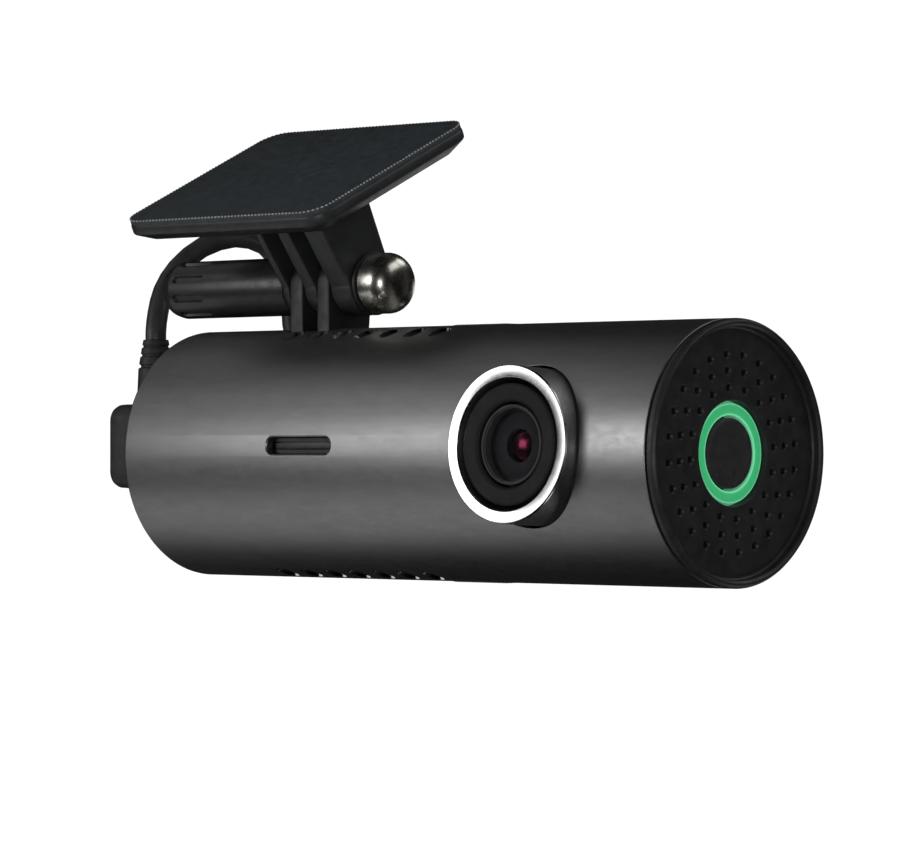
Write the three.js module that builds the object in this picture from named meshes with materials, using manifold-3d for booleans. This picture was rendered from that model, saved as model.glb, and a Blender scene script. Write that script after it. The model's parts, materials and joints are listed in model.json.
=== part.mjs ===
// Dash camera: a tubular camera unit that hangs by a clamped hinge from a sloping windscreen mount.
// Millimetres, +Z up. The lens looks towards -Y and the button end faces +X.
// The export's origin is the centre of the mount's adhesive face.
// Inside this file, "housing coordinates" have the tube's axis on X and the grille face at x = 0.
import * as THREE from "three";
import { mergeVertices } from "three/addons/utils/BufferGeometryUtils.js";
import Module from "manifold-3d";

const wasm = await Module();
wasm.setup();

// ---------- driving dimensions ----------
const GAP = 0.3; // air between two neighbouring solids

const HOUSING_R = 15.8;
const HOUSING_LENGTH = 87.5;
const WALL = 1.2;
const INNER_R = HOUSING_R - WALL;
const FRAME_R = INNER_R - GAP; // largest radius of anything inside the tube
const EDGE_R = 0.6; // rounding of the tube's power end

const RIM_CREST = 1.45; // how far the grille cap's rim stands past the grille face
const HOLE_RINGS = [
  { radius: 11.63, count: 24 },
  { radius: 9.68, count: 20 },
  { radius: 7.69, count: 16 },
];
const HOLE_R = 0.4;
const HOLE_START = THREE.MathUtils.degToRad(5.4); // first hole of each ring, from the top to the lens side
const LED_RING = { inner: 4.45, outer: 5.9, depth: 0.5 };
const BUTTON_R = 4.15;
const BUTTON_TRAVEL = 0.4;

const LENS_X = -19.7;
const LENS_ROLL = THREE.MathUtils.degToRad(3.5); // the lens and the slots look up by this much
const BEZEL = { outer: 9.3, face: 7.9, bore: 7.5, front: HOUSING_R + 2, back: 10.8 };
const LENS_HOLE_R = 5.05;
const BARREL_R = 6; // an M12 lens
const BARREL_NOSE_R = LENS_HOLE_R - GAP;

const SLOT = { x: -56.05, width: 11.7, height: 2.4, z: 0.95, depth: 1.2 };
const CARD = { width: 10.9, length: 15, thickness: 0.8 };
const VENT = { count: 7, pitch: 4.2, width: 1.7, length: 2.9 };
// Each row's lean from the top of the tube towards the lens side, and its middle hole's place.
const VENT_ROWS = [
  { lean: THREE.MathUtils.degToRad(19), middle: -54.6 },
  { lean: THREE.MathUtils.degToRad(163.5), middle: -56.3 },
];

const HINGE_Y = 1;
const HINGE_Z = 21.4;
const PIVOT_R = 4; // rounded ends of the hinge leaves
const BOLT_R = 1.5;
const BOLT_HOLE_R = 1.85;
const MOUNT_LEAVES = [
  [-71.6, -70.5],
  [-67.7, -65.7],
  [-63, -59.6],
];
const LUG_LEAVES = [
  [-70.2, -68],
  [-65.4, -63.3],
];
const LUG_FOOT = { y0: -3, y1: 4.2 };
const KNOB = { left: -95, right: -72, radius: 3.75, bore: 2.9 };
const BOLT_HEAD_R = 3.85;
const GRIPS = 9;

const SLOPE = THREE.MathUtils.degToRad(25); // the windscreen's slope
const PLATE = { x0: -89, x1: -53.4, t0: -11.2, t1: 19.4, top: 14.3, thickness: 3.6, corner: 3.2 };
const PAD_THICKNESS = 0.8;
const EDGE_TAPER = 2.4; // how far the mount plate's edges lean in towards its underside
const TAPER_DEPTH = 1.6;

const BOARD = { x0: -84.2, x1: -31, halfWidth: 12.3, top: -0.8, thickness: 1.2 };
const PORT_Z = 1.2; // height of the power socket's centre

const PLUG = { x0: -101.9, x1: -HOUSING_LENGTH - GAP, halfWidth: 5.5, z0: -4.6, z1: 6.45 };
const RELIEF_X = -98.3;
const RELIEF_TOP = 15;
const CORD_R = 1.4;
const HANK = { left: -88.4, run: 45, halfHeight: 15.4, y0: 17.6, y1: 40 };
const TIE = { x0: -62.5, x1: -53.5, thickness: 1 };
const TAIL_START = -91.2;
// The far plug lies on the hank's back. x and length are those of its relief, its overmould and its shell.
const FAR_PLUG = { y: 44.1, z: 1.9, x: [-86.5, -74.2, -45.9], length: [12, 28, 18.5] };

// ---------- helpers ----------
const vec = (x, y, z) => new THREE.Vector3(x, y, z);

function solid(geometry) {
  const bare = geometry.clone();
  bare.deleteAttribute("normal");
  bare.deleteAttribute("uv");
  const merged = mergeVertices(bare, 1e-4);
  return new wasm.Manifold(
    new wasm.Mesh({
      numProp: 3,
      vertProperties: merged.attributes.position.array,
      triVerts: new Uint32Array(merged.index.array),
    }),
  );
}

function geometryOf(manifold) {
  const mesh = manifold.getMesh();
  const geometry = new THREE.BufferGeometry();
  geometry.setAttribute("position", new THREE.BufferAttribute(mesh.vertProperties, 3));
  geometry.setIndex(new THREE.BufferAttribute(mesh.triVerts, 1));
  return geometry;
}

const joined = (solids) => solids.reduce((whole, next) => whole.add(next));
const cut = (whole, cutters) => cutters.reduce((left, cutter) => left.subtract(cutter), whole);

// A turned body: profile points are [radius, place along the axis], in either direction.
function turned(profile, segments = 24) {
  const area = profile.reduce((sum, [r, a], i) => {
    const [nextR, nextA] = profile[(i + 1) % profile.length];
    return sum + r * nextA - nextR * a;
  }, 0);
  const ordered = area < 0 ? [...profile].reverse() : profile;
  const points = ordered.map(([r, a]) => new THREE.Vector2(r, a));
  const closed = ordered.every(([r]) => r > 0);
  if (closed) points.push(points[0].clone());
  return new THREE.LatheGeometry(points, segments);
}

// The lathe's axis is laid along +X, or along the lens's outward direction.
const alongX = (geometry) => geometry.rotateZ(-Math.PI / 2);
const alongZ = (geometry) => geometry.rotateX(Math.PI / 2);
const alongLens = (geometry) => geometry.rotateX(Math.PI - LENS_ROLL).translate(LENS_X, 0, 0);

function shapeOf(points) {
  return new THREE.Shape(points.map(([u, v]) => new THREE.Vector2(u, v)));
}

function roundedRect(u0, u1, v0, v1, radius) {
  const shape = new THREE.Shape();
  shape.absarc(u1 - radius, v0 + radius, radius, -Math.PI / 2, 0);
  shape.absarc(u1 - radius, v1 - radius, radius, 0, Math.PI / 2);
  shape.absarc(u0 + radius, v1 - radius, radius, Math.PI / 2, Math.PI);
  shape.absarc(u0 + radius, v0 + radius, radius, Math.PI, Math.PI * 1.5);
  shape.closePath();
  return shape;
}

function extruded(shape, depth, options = {}) {
  return new THREE.ExtrudeGeometry(shape, { depth, bevelEnabled: false, curveSegments: 4, ...options });
}

// An outline in the Y-Z plane, drawn as (y, z), pulled along X from x0 to x1.
const SECTION = new THREE.Matrix4().makeBasis(vec(0, 1, 0), vec(0, 0, 1), vec(1, 0, 0));
function prismX(shape, x0, x1, options) {
  return extruded(shape, x1 - x0, options).applyMatrix4(SECTION).translate(x0, 0, 0);
}

// An outline in the X-Z plane, drawn as (x, z), pulled along Y from y0 to y1.
function prismY(shape, y0, y1, options) {
  return extruded(shape, y1 - y0, options).rotateX(Math.PI / 2).translate(0, y1, 0);
}

function box(x0, x1, y0, y1, z0, z1) {
  const geometry = new THREE.BoxGeometry(x1 - x0, y1 - y0, z1 - z0);
  return geometry.translate((x0 + x1) / 2, (y0 + y1) / 2, (z0 + z1) / 2);
}

function rod(radius, x0, x1, y = 0, z = 0, segments = 24) {
  const geometry = new THREE.CylinderGeometry(radius, radius, x1 - x0, segments);
  return geometry.rotateZ(Math.PI / 2).translate((x0 + x1) / 2, y, z);
}

function tubeAlong(points, radius, steps) {
  const section = new THREE.Shape();
  section.absarc(0, 0, radius, 0, 2 * Math.PI);
  const path = new THREE.CatmullRomCurve3(points.map((p) => vec(...p)));
  return new THREE.ExtrudeGeometry(section, {
    steps,
    extrudePath: path,
    bevelEnabled: false,
    curveSegments: 4,
  });
}

const assembly = new THREE.Group();

function add(parent, name, geometry, colour, roughness, metalness = 0) {
  const shown = geometry.isBufferGeometry ? geometry : geometryOf(geometry);
  shown.computeVertexNormals();
  const material = new THREE.MeshStandardMaterial({ color: colour, roughness, metalness });
  const mesh = new THREE.Mesh(shown, material);
  mesh.name = name;
  parent.add(mesh);
  return mesh;
}

function group(name) {
  const made = new THREE.Group();
  made.name = name;
  assembly.add(made);
  return made;
}

const BLACK = 0x141517;
const GUNMETAL = 0x55565a;
const BOARD_GREEN = 0x1d4a35;
const STEEL = 0xb9bcc0;
const BRASS = 0xb08d4a;
const GLASS = 0x1a2233;

// ---------- camera unit: housing ----------
const camera = group("camera_unit");

function ventCutters({ lean, middle }) {
  const { count, pitch, width, length } = VENT;
  return Array.from({ length: count }, (_, i) => {
    const x = middle + (i - (count - 1) / 2) * pitch;
    const hole = roundedRect(x - width / 2, x + width / 2, -length / 2, length / 2, width / 2 - 0.01);
    return solid(extruded(hole, 4).translate(0, 0, INNER_R - 1.2).rotateX(lean));
  });
}

function cardSlotShape(margin) {
  const halfHeight = SLOT.height / 2 + margin;
  const halfWidth = SLOT.width / 2 + margin;
  return roundedRect(
    SLOT.x - halfWidth,
    SLOT.x + halfWidth,
    SLOT.z - halfHeight,
    SLOT.z + halfHeight,
    halfHeight - 0.01,
  );
}

function casing() {
  const tube = solid(
    alongX(
      turned(
        [
          [HOUSING_R, -GAP / 2],
          [HOUSING_R, -HOUSING_LENGTH + EDGE_R],
          [HOUSING_R - 0.2, -HOUSING_LENGTH + 0.2],
          [HOUSING_R - EDGE_R, -HOUSING_LENGTH],
          [INNER_R, -HOUSING_LENGTH],
          [INNER_R, -GAP / 2],
        ],
        48,
      ),
    ),
  );
  const lensHole = solid(alongLens(new THREE.CylinderGeometry(9.6, 9.6, HOUSING_R, 40).translate(0, 16, 0)));
  const lugHole = solid(
    box(
      LUG_LEAVES[0][0] - GAP,
      LUG_LEAVES[1][1] + GAP,
      LUG_FOOT.y0 - GAP,
      LUG_FOOT.y1 + GAP,
      10,
      20,
    ),
  );
  const cardHole = solid(prismY(cardSlotShape(0), -HOUSING_R - 2, -8));
  return cut(tube, [lensHole, lugHole, cardHole, ...VENT_ROWS.flatMap(ventCutters)]);
}
add(camera, "casing_tube", casing(), GUNMETAL, 0.38, 0.85);

function grilleCap() {
  const faceThickness = 1.4;
  const skirtDepth = 4.5;
  const body = solid(
    alongX(
      turned(
        [
          [LED_RING.outer + GAP, 0],
          [14.5, 0],
          [14.8, 0.35],
          [14.85, 0.9],
          [15.05, 1.32],
          [15.3, RIM_CREST],
          [15.62, 1.2],
          [HOUSING_R, 0.7],
          [HOUSING_R, GAP / 2],
          [FRAME_R, GAP / 2],
          [FRAME_R, -skirtDepth],
          [FRAME_R - 1.1, -skirtDepth],
          [FRAME_R - 1.1, -faceThickness],
          [LED_RING.outer + GAP, -faceThickness],
        ],
        40,
      ),
    ),
  );
  const holes = HOLE_RINGS.flatMap(({ radius, count }) =>
    Array.from({ length: count }, (_, i) => {
      const turn = HOLE_START + (i * 2 * Math.PI) / count;
      return solid(rod(HOLE_R, -2, 0.5, -radius * Math.sin(turn), radius * Math.cos(turn), 6));
    }),
  );
  return body.subtract(joined(holes));
}
add(camera, "grille_cap", grilleCap(), BLACK, 0.5);

const ledRing = turned([
  [LED_RING.inner, -LED_RING.depth],
  [LED_RING.outer, -LED_RING.depth],
  [LED_RING.outer, -1.75],
  [7, -1.75],
  [7, -2.6],
  [LED_RING.inner, -2.6],
]);
add(camera, "led_light_ring", alongX(ledRing), 0x2bb673, 0.3);

function endCap() {
  const disc = solid(
    alongX(
      turned(
        [
          [0, -HOUSING_LENGTH + 0.15],
          [FRAME_R, -HOUSING_LENGTH + 0.15],
          [FRAME_R, -HOUSING_LENGTH + 4.5],
          [FRAME_R - 1.2, -HOUSING_LENGTH + 4.5],
          [FRAME_R - 1.2, -HOUSING_LENGTH + 2.3],
          [0, -HOUSING_LENGTH + 2.3],
        ],
        40,
      ),
    ),
  );
  const port = roundedRect(-5, 5, PORT_Z - 2.1, PORT_Z + 2.1, 2);
  const x0 = -HOUSING_LENGTH - 1;
  const x1 = -HOUSING_LENGTH + 3;
  const screws = END_SCREWS.map(([y, z]) => solid(rod(1.3, x0, x1, y, z, 16)));
  const heads = END_SCREWS.map(([y, z]) => solid(rod(2.1, x0, -HOUSING_LENGTH + 1.3, y, z, 16)));
  const reset = solid(rod(0.6, x0, x1, 0, 7.5, 10));
  return cut(disc, [solid(prismX(port, x0, x1)), ...screws, ...heads, reset]);
}
const END_SCREWS = [
  [-9.4, -7.4],
  [9.4, -7.4],
];
add(camera, "power_end_cap", endCap(), GUNMETAL, 0.45, 0.6);

function screw(headR, headDepth, shankR, length, slotWidth) {
  // The head's outer face is at a = 0 and the shank runs to positive a.
  const body = solid(
    alongX(
      turned(
        [
          [0, 0],
          [headR, 0],
          [headR, headDepth],
          [shankR, headDepth],
          [shankR, length - shankR],
          [shankR * 0.3, length],
          [0, length],
        ],
        10,
      ),
    ),
  );
  const slots = [
    box(-1, headDepth / 2, -headR * 0.7, headR * 0.7, -slotWidth / 2, slotWidth / 2),
    box(-1, headDepth / 2, -slotWidth / 2, slotWidth / 2, -headR * 0.7, headR * 0.7),
  ];
  return geometryOf(cut(body, slots.map(solid)));
}
END_SCREWS.forEach(([y, z], i) => {
  const piece = screw(1.8, 0.9, 0.95, 8, 0.5);
  add(camera, `end_cap_screw_${i + 1}`, piece, STEEL, 0.35, 0.9).position.set(-HOUSING_LENGTH + 0.3, y, z);
});

// The inner frame is a cage inside the tube, with rails for the board and a bridge for the hinge lug.
function innerFrame() {
  const x0 = -82.4;
  const x1 = -13.6;
  const wallR = FRAME_R - 1.2;
  const sleeve = solid(
    alongX(
      turned(
        [
          [wallR, x0],
          [FRAME_R, x0],
          [FRAME_R, x1],
          [wallR, x1],
        ],
        40,
      ),
    ),
  );
  const windows = [
    box(-80.4, -79.6, -20, 20, 5.5, 20),
    box(-56.6, -15, -20, 20, 5.5, 20),
    box(-80.4, -56.6, -6.3, 6.3, 5.5, 20),
    box(-80.4, -15, -20, 20, -20, -5.5),
    box(-65, -47, -20, 0, -3, 5),
  ];
  const lensWindow = alongLens(new THREE.CylinderGeometry(10.2, 10.2, HOUSING_R, 32).translate(0, 14, 0));
  const railDepth = 1.3;
  const railTop = BOARD.top - BOARD.thickness - GAP;
  const rails = [-1, 1].map((side) => {
    const y0 = side < 0 ? -wallR - 0.3 : 11.2;
    const y1 = side < 0 ? -11.2 : wallR + 0.3;
    return box(x0, -32, y0, y1, railTop - railDepth, railTop);
  });
  const bridge = box(-75.2, -58.7, -10.6, 10.6, 9.6, 11.4);
  const lugHoles = LUG_SCREWS.map((x) =>
    new THREE.CylinderGeometry(1, 1, 6, 10).rotateX(Math.PI / 2).translate(x, 0, 10.5),
  );
  const bosses = END_SCREWS.map(([y, z]) => rod(2.4, x0, x0 + 4, y, z, 16));
  const bossHoles = END_SCREWS.map(([y, z]) => rod(1.25, x0 - 1, x0 + 5, y, z, 10));
  const cage = cut(sleeve, [...windows, lensWindow].map(solid));
  const inside = solid(rod(FRAME_R, x0, x1, 0, 0, 48));
  const shelves = joined([...rails, ...bosses, bridge].map(solid)).intersect(inside);
  return cut(cage.add(shelves), [...lugHoles, ...bossHoles].map(solid));
}
const LUG_SCREWS = [-72.4, -60.8];
add(camera, "inner_frame", innerFrame(), BLACK, 0.6);

// ---------- camera unit: button and sound ----------
const buttonUnit = group("button_unit");
const buttonProfile = [
  [0, -0.5],
  [2.6, -0.45],
  [3.7, -0.32],
  [BUTTON_R, -0.5],
  [BUTTON_R, -3],
  [5, -3],
  [5, -3.8],
  [1, -3.8],
  [1, -4.6],
  [0, -4.6],
];
add(buttonUnit, "function_button", alongX(turned(buttonProfile, 24)), BLACK, 0.45);

function buttonBoard() {
  const board = solid(rod(12.5, -7.6, -6.6, 0, 0, 36));
  const soundHoles = Array.from({ length: 6 }, (_, i) => {
    const turn = (i * Math.PI) / 3;
    return solid(rod(2.4, -8, -6, 8.9 * Math.cos(turn), 8.9 * Math.sin(turn), 12));
  });
  return board.subtract(joined(soundHoles));
}
add(camera, "button_board", buttonBoard(), BOARD_GREEN, 0.5);

const switchCan = solid(box(-6.3, -5.5, -2.6, 2.6, -2.6, 2.6));
const switchPlunger = solid(rod(1.2, -5.6, -4.6 - BUTTON_TRAVEL - 0.1, 0, 0, 12));
add(camera, "button_switch", switchCan.add(switchPlunger), STEEL, 0.4, 0.6);
for (let i = 0; i < 4; i += 1) {
  const turn = Math.PI / 4 + (i * Math.PI) / 2;
  const chip = add(camera, `ring_led_${i + 1}`, box(-6.3, -5.7, -0.8, 0.8, -0.4, 0.4), 0xe8efe6, 0.4);
  chip.position.set(0, 5.2 * Math.cos(turn), 5.2 * Math.sin(turn));
  chip.rotation.x = turn + Math.PI / 2;
}
add(camera, "microphone", box(-6.3, -5.4, -1.2, 1.2, -11.6, -9.6), STEEL, 0.4, 0.7);

const speakerBasket = turned(
  [
    [5.4, -11.4],
    [9.2, -11.4],
    [9.2, -9.2],
    [11, -9.2],
    [11, -8.2],
    [9.6, -8.2],
    [8.4, -9.2],
    [8.4, -10.7],
    [5.4, -10.7],
  ],
  24,
);
add(camera, "speaker_basket", alongX(speakerBasket), 0x2a2b2d, 0.5);
const speakerMagnet = [
  [0, -12],
  [5, -12],
  [5, -10.2],
  [0, -10.2],
];
add(camera, "speaker_magnet", alongX(turned(speakerMagnet, 20)), STEEL, 0.35, 0.9);
const speakerCone = [
  [0, -9],
  [3, -8.5],
  [8.1, -8.9],
  [8.1, -9.3],
  [3, -8.9],
  [2.6, -9.9],
  [0, -9.9],
];
add(camera, "speaker_cone", alongX(turned(speakerCone, 20)), 0x222222, 0.7);

// ---------- camera unit: lens ----------
const lensUnit = new THREE.Group();
camera.add(lensUnit);
// The lens unit's own axis is +Y before it is turned: "a" is the distance out from the tube's axis.
lensUnit.position.x = LENS_X;
lensUnit.rotation.x = Math.PI - LENS_ROLL;

const bezelProfile = [
  [BEZEL.bore, BEZEL.back],
  [BEZEL.outer, BEZEL.back],
  [BEZEL.outer, BEZEL.front - 0.45],
  [BEZEL.outer - 0.12, BEZEL.front - 0.14],
  [BEZEL.outer - 0.45, BEZEL.front],
  [BEZEL.face, BEZEL.front],
  [BEZEL.bore, BEZEL.front - 1],
];
add(lensUnit, "lens_bezel", turned(bezelProfile, 40), 0xc4c6c8, 0.18, 1);

const surroundProfile = [
  [LENS_HOLE_R, 15.2],
  [BEZEL.bore - GAP, 15.2],
  [BEZEL.bore - GAP, 17.3],
  [5.4, 17.5],
  [LENS_HOLE_R, 17.2],
];
add(lensUnit, "lens_surround", turned(surroundProfile, 32), BLACK, 0.35);

const barrelProfile = [
  [4.4, 3],
  [BARREL_R, 3],
  [BARREL_R, 14.9],
  [BARREL_NOSE_R, 14.9],
  [BARREL_NOSE_R, 16.9],
  [4.4, 16.9],
];
add(lensUnit, "lens_barrel", turned(barrelProfile, 24), BLACK, 0.4, 0.3);

// Glass elements: [name, radius, back, back bulge, front, front bulge]
const ELEMENTS = [
  ["lens_front_glass", 4.05, 13.4, -0.5, 15.8, 0.7],
  ["lens_middle_glass", 4.05, 7.4, 0.4, 8.6, 0.4],
  ["lens_rear_glass", 4.05, 4, 0.5, 5.6, 0.5],
];
function lensElement(radius, back, backBulge, front, frontBulge) {
  const arc = (edge, bulge) => [0, 0.6, 1].map((f) => [radius * f, edge + bulge * (1 - f * f)]);
  return turned([...arc(back, -backBulge), ...arc(front, frontBulge).reverse()], 20);
}
for (const [name, radius, back, backBulge, front, frontBulge] of ELEMENTS)
  add(lensUnit, name, lensElement(radius, back, backBulge, front, frontBulge), GLASS, 0.05);

function lensHolder() {
  const base = solid(box(-6.9, 6.9, 0.9, 2.6, -8, 8));
  const collar = solid(new THREE.CylinderGeometry(7.3, 7.3, 6, 28).translate(0, 4.6, 0));
  const bore = solid(new THREE.CylinderGeometry(BARREL_R + GAP, BARREL_R + GAP, 10, 28).translate(0, 7.2, 0));
  const lightWay = solid(new THREE.CylinderGeometry(4.6, 4.6, 10, 20).translate(0, 2, 0));
  return cut(base.add(collar), [bore, lightWay]);
}
add(lensUnit, "lens_holder", lensHolder(), BLACK, 0.6);
add(lensUnit, "image_sensor", box(-3.8, 3.8, -0.6, 0.5, -3.2, 3.2), 0x30343a, 0.3);
add(lensUnit, "sensor_board", box(-6.9, 6.9, -1.9, -0.9, -9.8, 9.8), BOARD_GREEN, 0.5);

// ---------- camera unit: electronics ----------
add(
  camera,
  "main_board",
  box(BOARD.x0 + 2, BOARD.x1, -BOARD.halfWidth, BOARD.halfWidth, BOARD.top - BOARD.thickness, BOARD.top),
  BOARD_GREEN,
  0.5,
);
const BOARD_TOP = BOARD.top + GAP; // where a part soldered to the board starts
add(camera, "processor_chip", box(-75.5, -65, -5.5, 5.5, BOARD_TOP, 0.7), 0x202225, 0.4);

function heatSink() {
  const base = box(-76.5, -64, -8, 8, 1, 2);
  const fins = Array.from({ length: 6 }, (_, i) => box(-76.5, -64, -8 + i * 3, -7 + i * 3, 1.5, 6));
  return joined([base, ...fins].map(solid));
}
add(camera, "heat_sink", heatSink(), 0x9a9da1, 0.4, 0.9);
add(camera, "wifi_module", box(-63, -48.5, 4.6, 11.6, BOARD_TOP, 1.6), STEEL, 0.35, 0.8);
add(camera, "backup_battery", rod(4.6, -62, -36, 0, -8.4, 24), 0x3a4a7a, 0.45);

function cardSocket() {
  const shell = solid(box(SLOT.x - 7.2, SLOT.x + 7.2, -10.6, 4, BOARD_TOP, 2.1));
  const channel = box(SLOT.x - 5.85, SLOT.x + 5.85, -12, 2.8, SLOT.z - 0.7, SLOT.z + 0.7);
  return shell.subtract(solid(channel));
}
add(camera, "card_socket", cardSocket(), STEEL, 0.35, 0.8);

function cardSlotTrim() {
  const front = -HOUSING_R + SLOT.depth;
  const plug = solid(prismY(cardSlotShape(-GAP), front, front + 3));
  const slit = box(SLOT.x - 5.6, SLOT.x + 5.6, front - 1, front + 4, SLOT.z - 0.7, SLOT.z + 0.7);
  const flange = box(SLOT.x - 7, SLOT.x + 7, front + 1.4, front + 3, BOARD_TOP, SLOT.z + 2.4);
  return cut(plug.add(solid(flange)), [solid(slit)]);
}
add(camera, "card_slot_trim", cardSlotTrim(), BLACK, 0.5);

const cardUnit = group("card_unit");
function memoryCard() {
  const x0 = SLOT.x - CARD.width / 2;
  const x1 = SLOT.x + CARD.width / 2;
  const outline = shapeOf([
    [x0, 0],
    [x1, 0],
    [x1, CARD.length - 1.4],
    [x1 - 1.4, CARD.length],
    [x0, CARD.length],
  ]);
  const card = extruded(outline, CARD.thickness);
  return card.translate(0, -HOUSING_R + SLOT.depth + 0.1, SLOT.z - CARD.thickness / 2);
}
add(cardUnit, "memory_card", memoryCard(), 0x1b1c1f, 0.5);

function powerSocket() {
  const outer = roundedRect(-4.6, 4.6, PORT_Z - 1.7, PORT_Z + 1.7, 1.6);
  const inner = roundedRect(-4.2, 4.2, PORT_Z - 1.3, PORT_Z + 1.3, 1.2);
  const shell = solid(prismX(outer, -84.7, -77.5));
  return shell.subtract(solid(prismX(inner, -85, -78.2)));
}
add(camera, "power_socket", powerSocket(), STEEL, 0.3, 0.9);

add(camera, "sensor_ribbon", box(-34, -22, 2.5, 8.5, BOARD_TOP, BOARD_TOP + 0.3), 0xc98a3a, 0.5);

// ---------- camera unit: hinge lug ----------
// An outline in the Y-Z plane around the pivot: a round end joined to a foot.
function leaf(foot, x0, x1) {
  const round = solid(rod(PIVOT_R, x0, x1, HINGE_Y, HINGE_Z, 28));
  return round.add(solid(prismX(shapeOf(foot), x0, x1)));
}
const pivotHole = () => solid(rod(BOLT_HOLE_R, -100, -50, HINGE_Y, HINGE_Z, 20));

function hingeLug() {
  const footTop = 16.5;
  const neckTop = 15;
  const { y0, y1 } = LUG_FOOT;
  const stem = [
    [y0, 13],
    [y1, 13],
    [y1, footTop],
    [HINGE_Y + PIVOT_R, HINGE_Z],
    [HINGE_Y - PIVOT_R, HINGE_Z],
    [y0, footTop],
  ];
  const leaves = LUG_LEAVES.map(([x0, x1]) => leaf(stem, x0, x1));
  const neck = solid(box(LUG_LEAVES[0][0], LUG_LEAVES[1][1], y0, y1, 13, neckTop));
  const insideTube = solid(rod(FRAME_R, -80, -60, 0, 0, 48));
  const flange = solid(box(-74.4, -59, -6, 6, 11.7, 13.4)).intersect(insideTube);
  const screwHoles = LUG_SCREWS.map((x) =>
    new THREE.CylinderGeometry(1.25, 1.25, 8, 12).rotateX(Math.PI / 2).translate(x, 0, 12.5),
  );
  return cut(joined([...leaves, neck, flange]), [pivotHole(), ...screwHoles.map(solid)]);
}
add(camera, "hinge_lug", hingeLug(), BLACK, 0.5);

LUG_SCREWS.forEach((x, i) => {
  const piece = screw(1.7, 0.55, 0.7, 4.2, 0.4);
  const mesh = add(camera, `lug_screw_${i + 1}`, piece, STEEL, 0.35, 0.9);
  mesh.rotation.y = Math.PI / 2; // the shank points down
  mesh.position.set(x, 0, 14.25);
});

// ---------- windscreen mount ----------
const mount = group("mount");
// Plate coordinates: t runs up the windscreen's slope and n out towards the glass, both from the pivot.
const slopeFrame = (shape, x0, x1) => prismX(shape, x0, x1).rotateX(SLOPE).translate(0, HINGE_Y, HINGE_Z);

function platePrism(n0, n1, margin, options) {
  const outline = roundedRect(
    PLATE.x0 + margin,
    PLATE.x1 - margin,
    PLATE.t0 + margin,
    PLATE.t1 - margin,
    PLATE.corner - margin,
  );
  const plate = extruded(outline, n1 - n0, options).translate(0, 0, n0);
  return plate.rotateX(SLOPE).translate(0, HINGE_Y, HINGE_Z);
}

function mountBracket() {
  const under = PLATE.top - PLATE.thickness;
  const top = PLATE.top - PAD_THICKNESS - GAP;
  const waist = under + TAPER_DEPTH;
  const flange = solid(platePrism(waist - 0.1, top, 0));
  // Both edges of this layer lean in; the upper one is buried in the flange or cut away.
  const taper = solid(
    platePrism(waist, waist + 0.1, EDGE_TAPER, {
      bevelEnabled: true,
      bevelSize: EDGE_TAPER,
      bevelThickness: TAPER_DEPTH,
      bevelSegments: 1,
    }),
  ).subtract(solid(platePrism(top, top + 3, -1)));
  const web = [
    [-3, -2.6],
    [PIVOT_R, 0],
    [PIVOT_R, under + 0.5],
    [-5.7, under + 0.5],
  ];
  const leaves = MOUNT_LEAVES.map(([x0, x1]) => {
    const round = solid(rod(PIVOT_R, x0, x1, HINGE_Y, HINGE_Z, 28));
    return round.add(solid(slopeFrame(shapeOf(web), x0, x1)));
  });
  return joined([flange, taper, ...leaves]).subtract(pivotHole());
}
add(mount, "mount_bracket", mountBracket(), BLACK, 0.55);
const pad = platePrism(PLATE.top - PAD_THICKNESS, PLATE.top, 0.1);
add(mount, "adhesive_pad", pad, 0x1b242c, 0.7);

function clampBolt() {
  const headX = MOUNT_LEAVES[2][1] + 1.1;
  const shoulder = headX + 1.8;
  const profile = [
    [0, -90.8],
    [BOLT_R - 0.3, -90.8],
    [BOLT_R, -90.3],
    [BOLT_R, headX],
    [BOLT_HEAD_R, headX],
    [BOLT_HEAD_R, shoulder],
    [BOLT_HEAD_R - 0.35, shoulder + 1.2],
    [BOLT_HEAD_R - 1.15, shoulder + 2],
    [BOLT_HEAD_R - 2.4, shoulder + 2.5],
    [0, shoulder + 2.6],
  ];
  return alongX(turned(profile, 24)).translate(0, HINGE_Y, HINGE_Z);
}
add(mount, "clamp_bolt", clampBolt(), 0xb7b8b6, 0.2, 1);

const washerX = MOUNT_LEAVES[2][1] + GAP;
const washer = turned([
  [BOLT_R + GAP, washerX],
  [PIVOT_R, washerX],
  [PIVOT_R, washerX + 0.5],
  [BOLT_R + GAP, washerX + 0.5],
]);
add(mount, "bolt_washer", alongX(washer).translate(0, HINGE_Y, HINGE_Z), BLACK, 0.5);

const knobUnit = group("knob_unit");
function clampKnob() {
  const body = solid(
    alongX(
      turned(
        [
          [0, KNOB.left],
          [2.2, KNOB.left],
          [3.1, KNOB.left + 0.45],
          [KNOB.radius, KNOB.left + 1.5],
          [KNOB.radius, KNOB.right],
          [KNOB.bore, KNOB.right],
          [KNOB.bore, KNOB.left + 4],
          [0, KNOB.left + 2.4],
        ],
        28,
      ),
    ).translate(0, HINGE_Y, HINGE_Z),
  );
  const grips = Array.from({ length: GRIPS }, (_, i) => {
    const turn = THREE.MathUtils.degToRad(80) + (i * 2 * Math.PI) / GRIPS;
    const groove = box(KNOB.left + 2.7, KNOB.left + 8.1, KNOB.radius - 0.35, KNOB.radius + 1, -0.4, 0.4);
    return solid(groove.rotateX(turn).translate(0, HINGE_Y, HINGE_Z));
  });
  return cut(body, grips);
}
add(knobUnit, "clamp_knob", clampKnob(), BLACK, 0.4);
const insert = turned([
  [BOLT_R + GAP, -90],
  [KNOB.bore - GAP, -90],
  [KNOB.bore - GAP, -74],
  [BOLT_R + GAP, -74],
]);
add(knobUnit, "knob_threaded_insert", alongX(insert).translate(0, HINGE_Y, HINGE_Z), BRASS, 0.35, 0.9);

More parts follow.
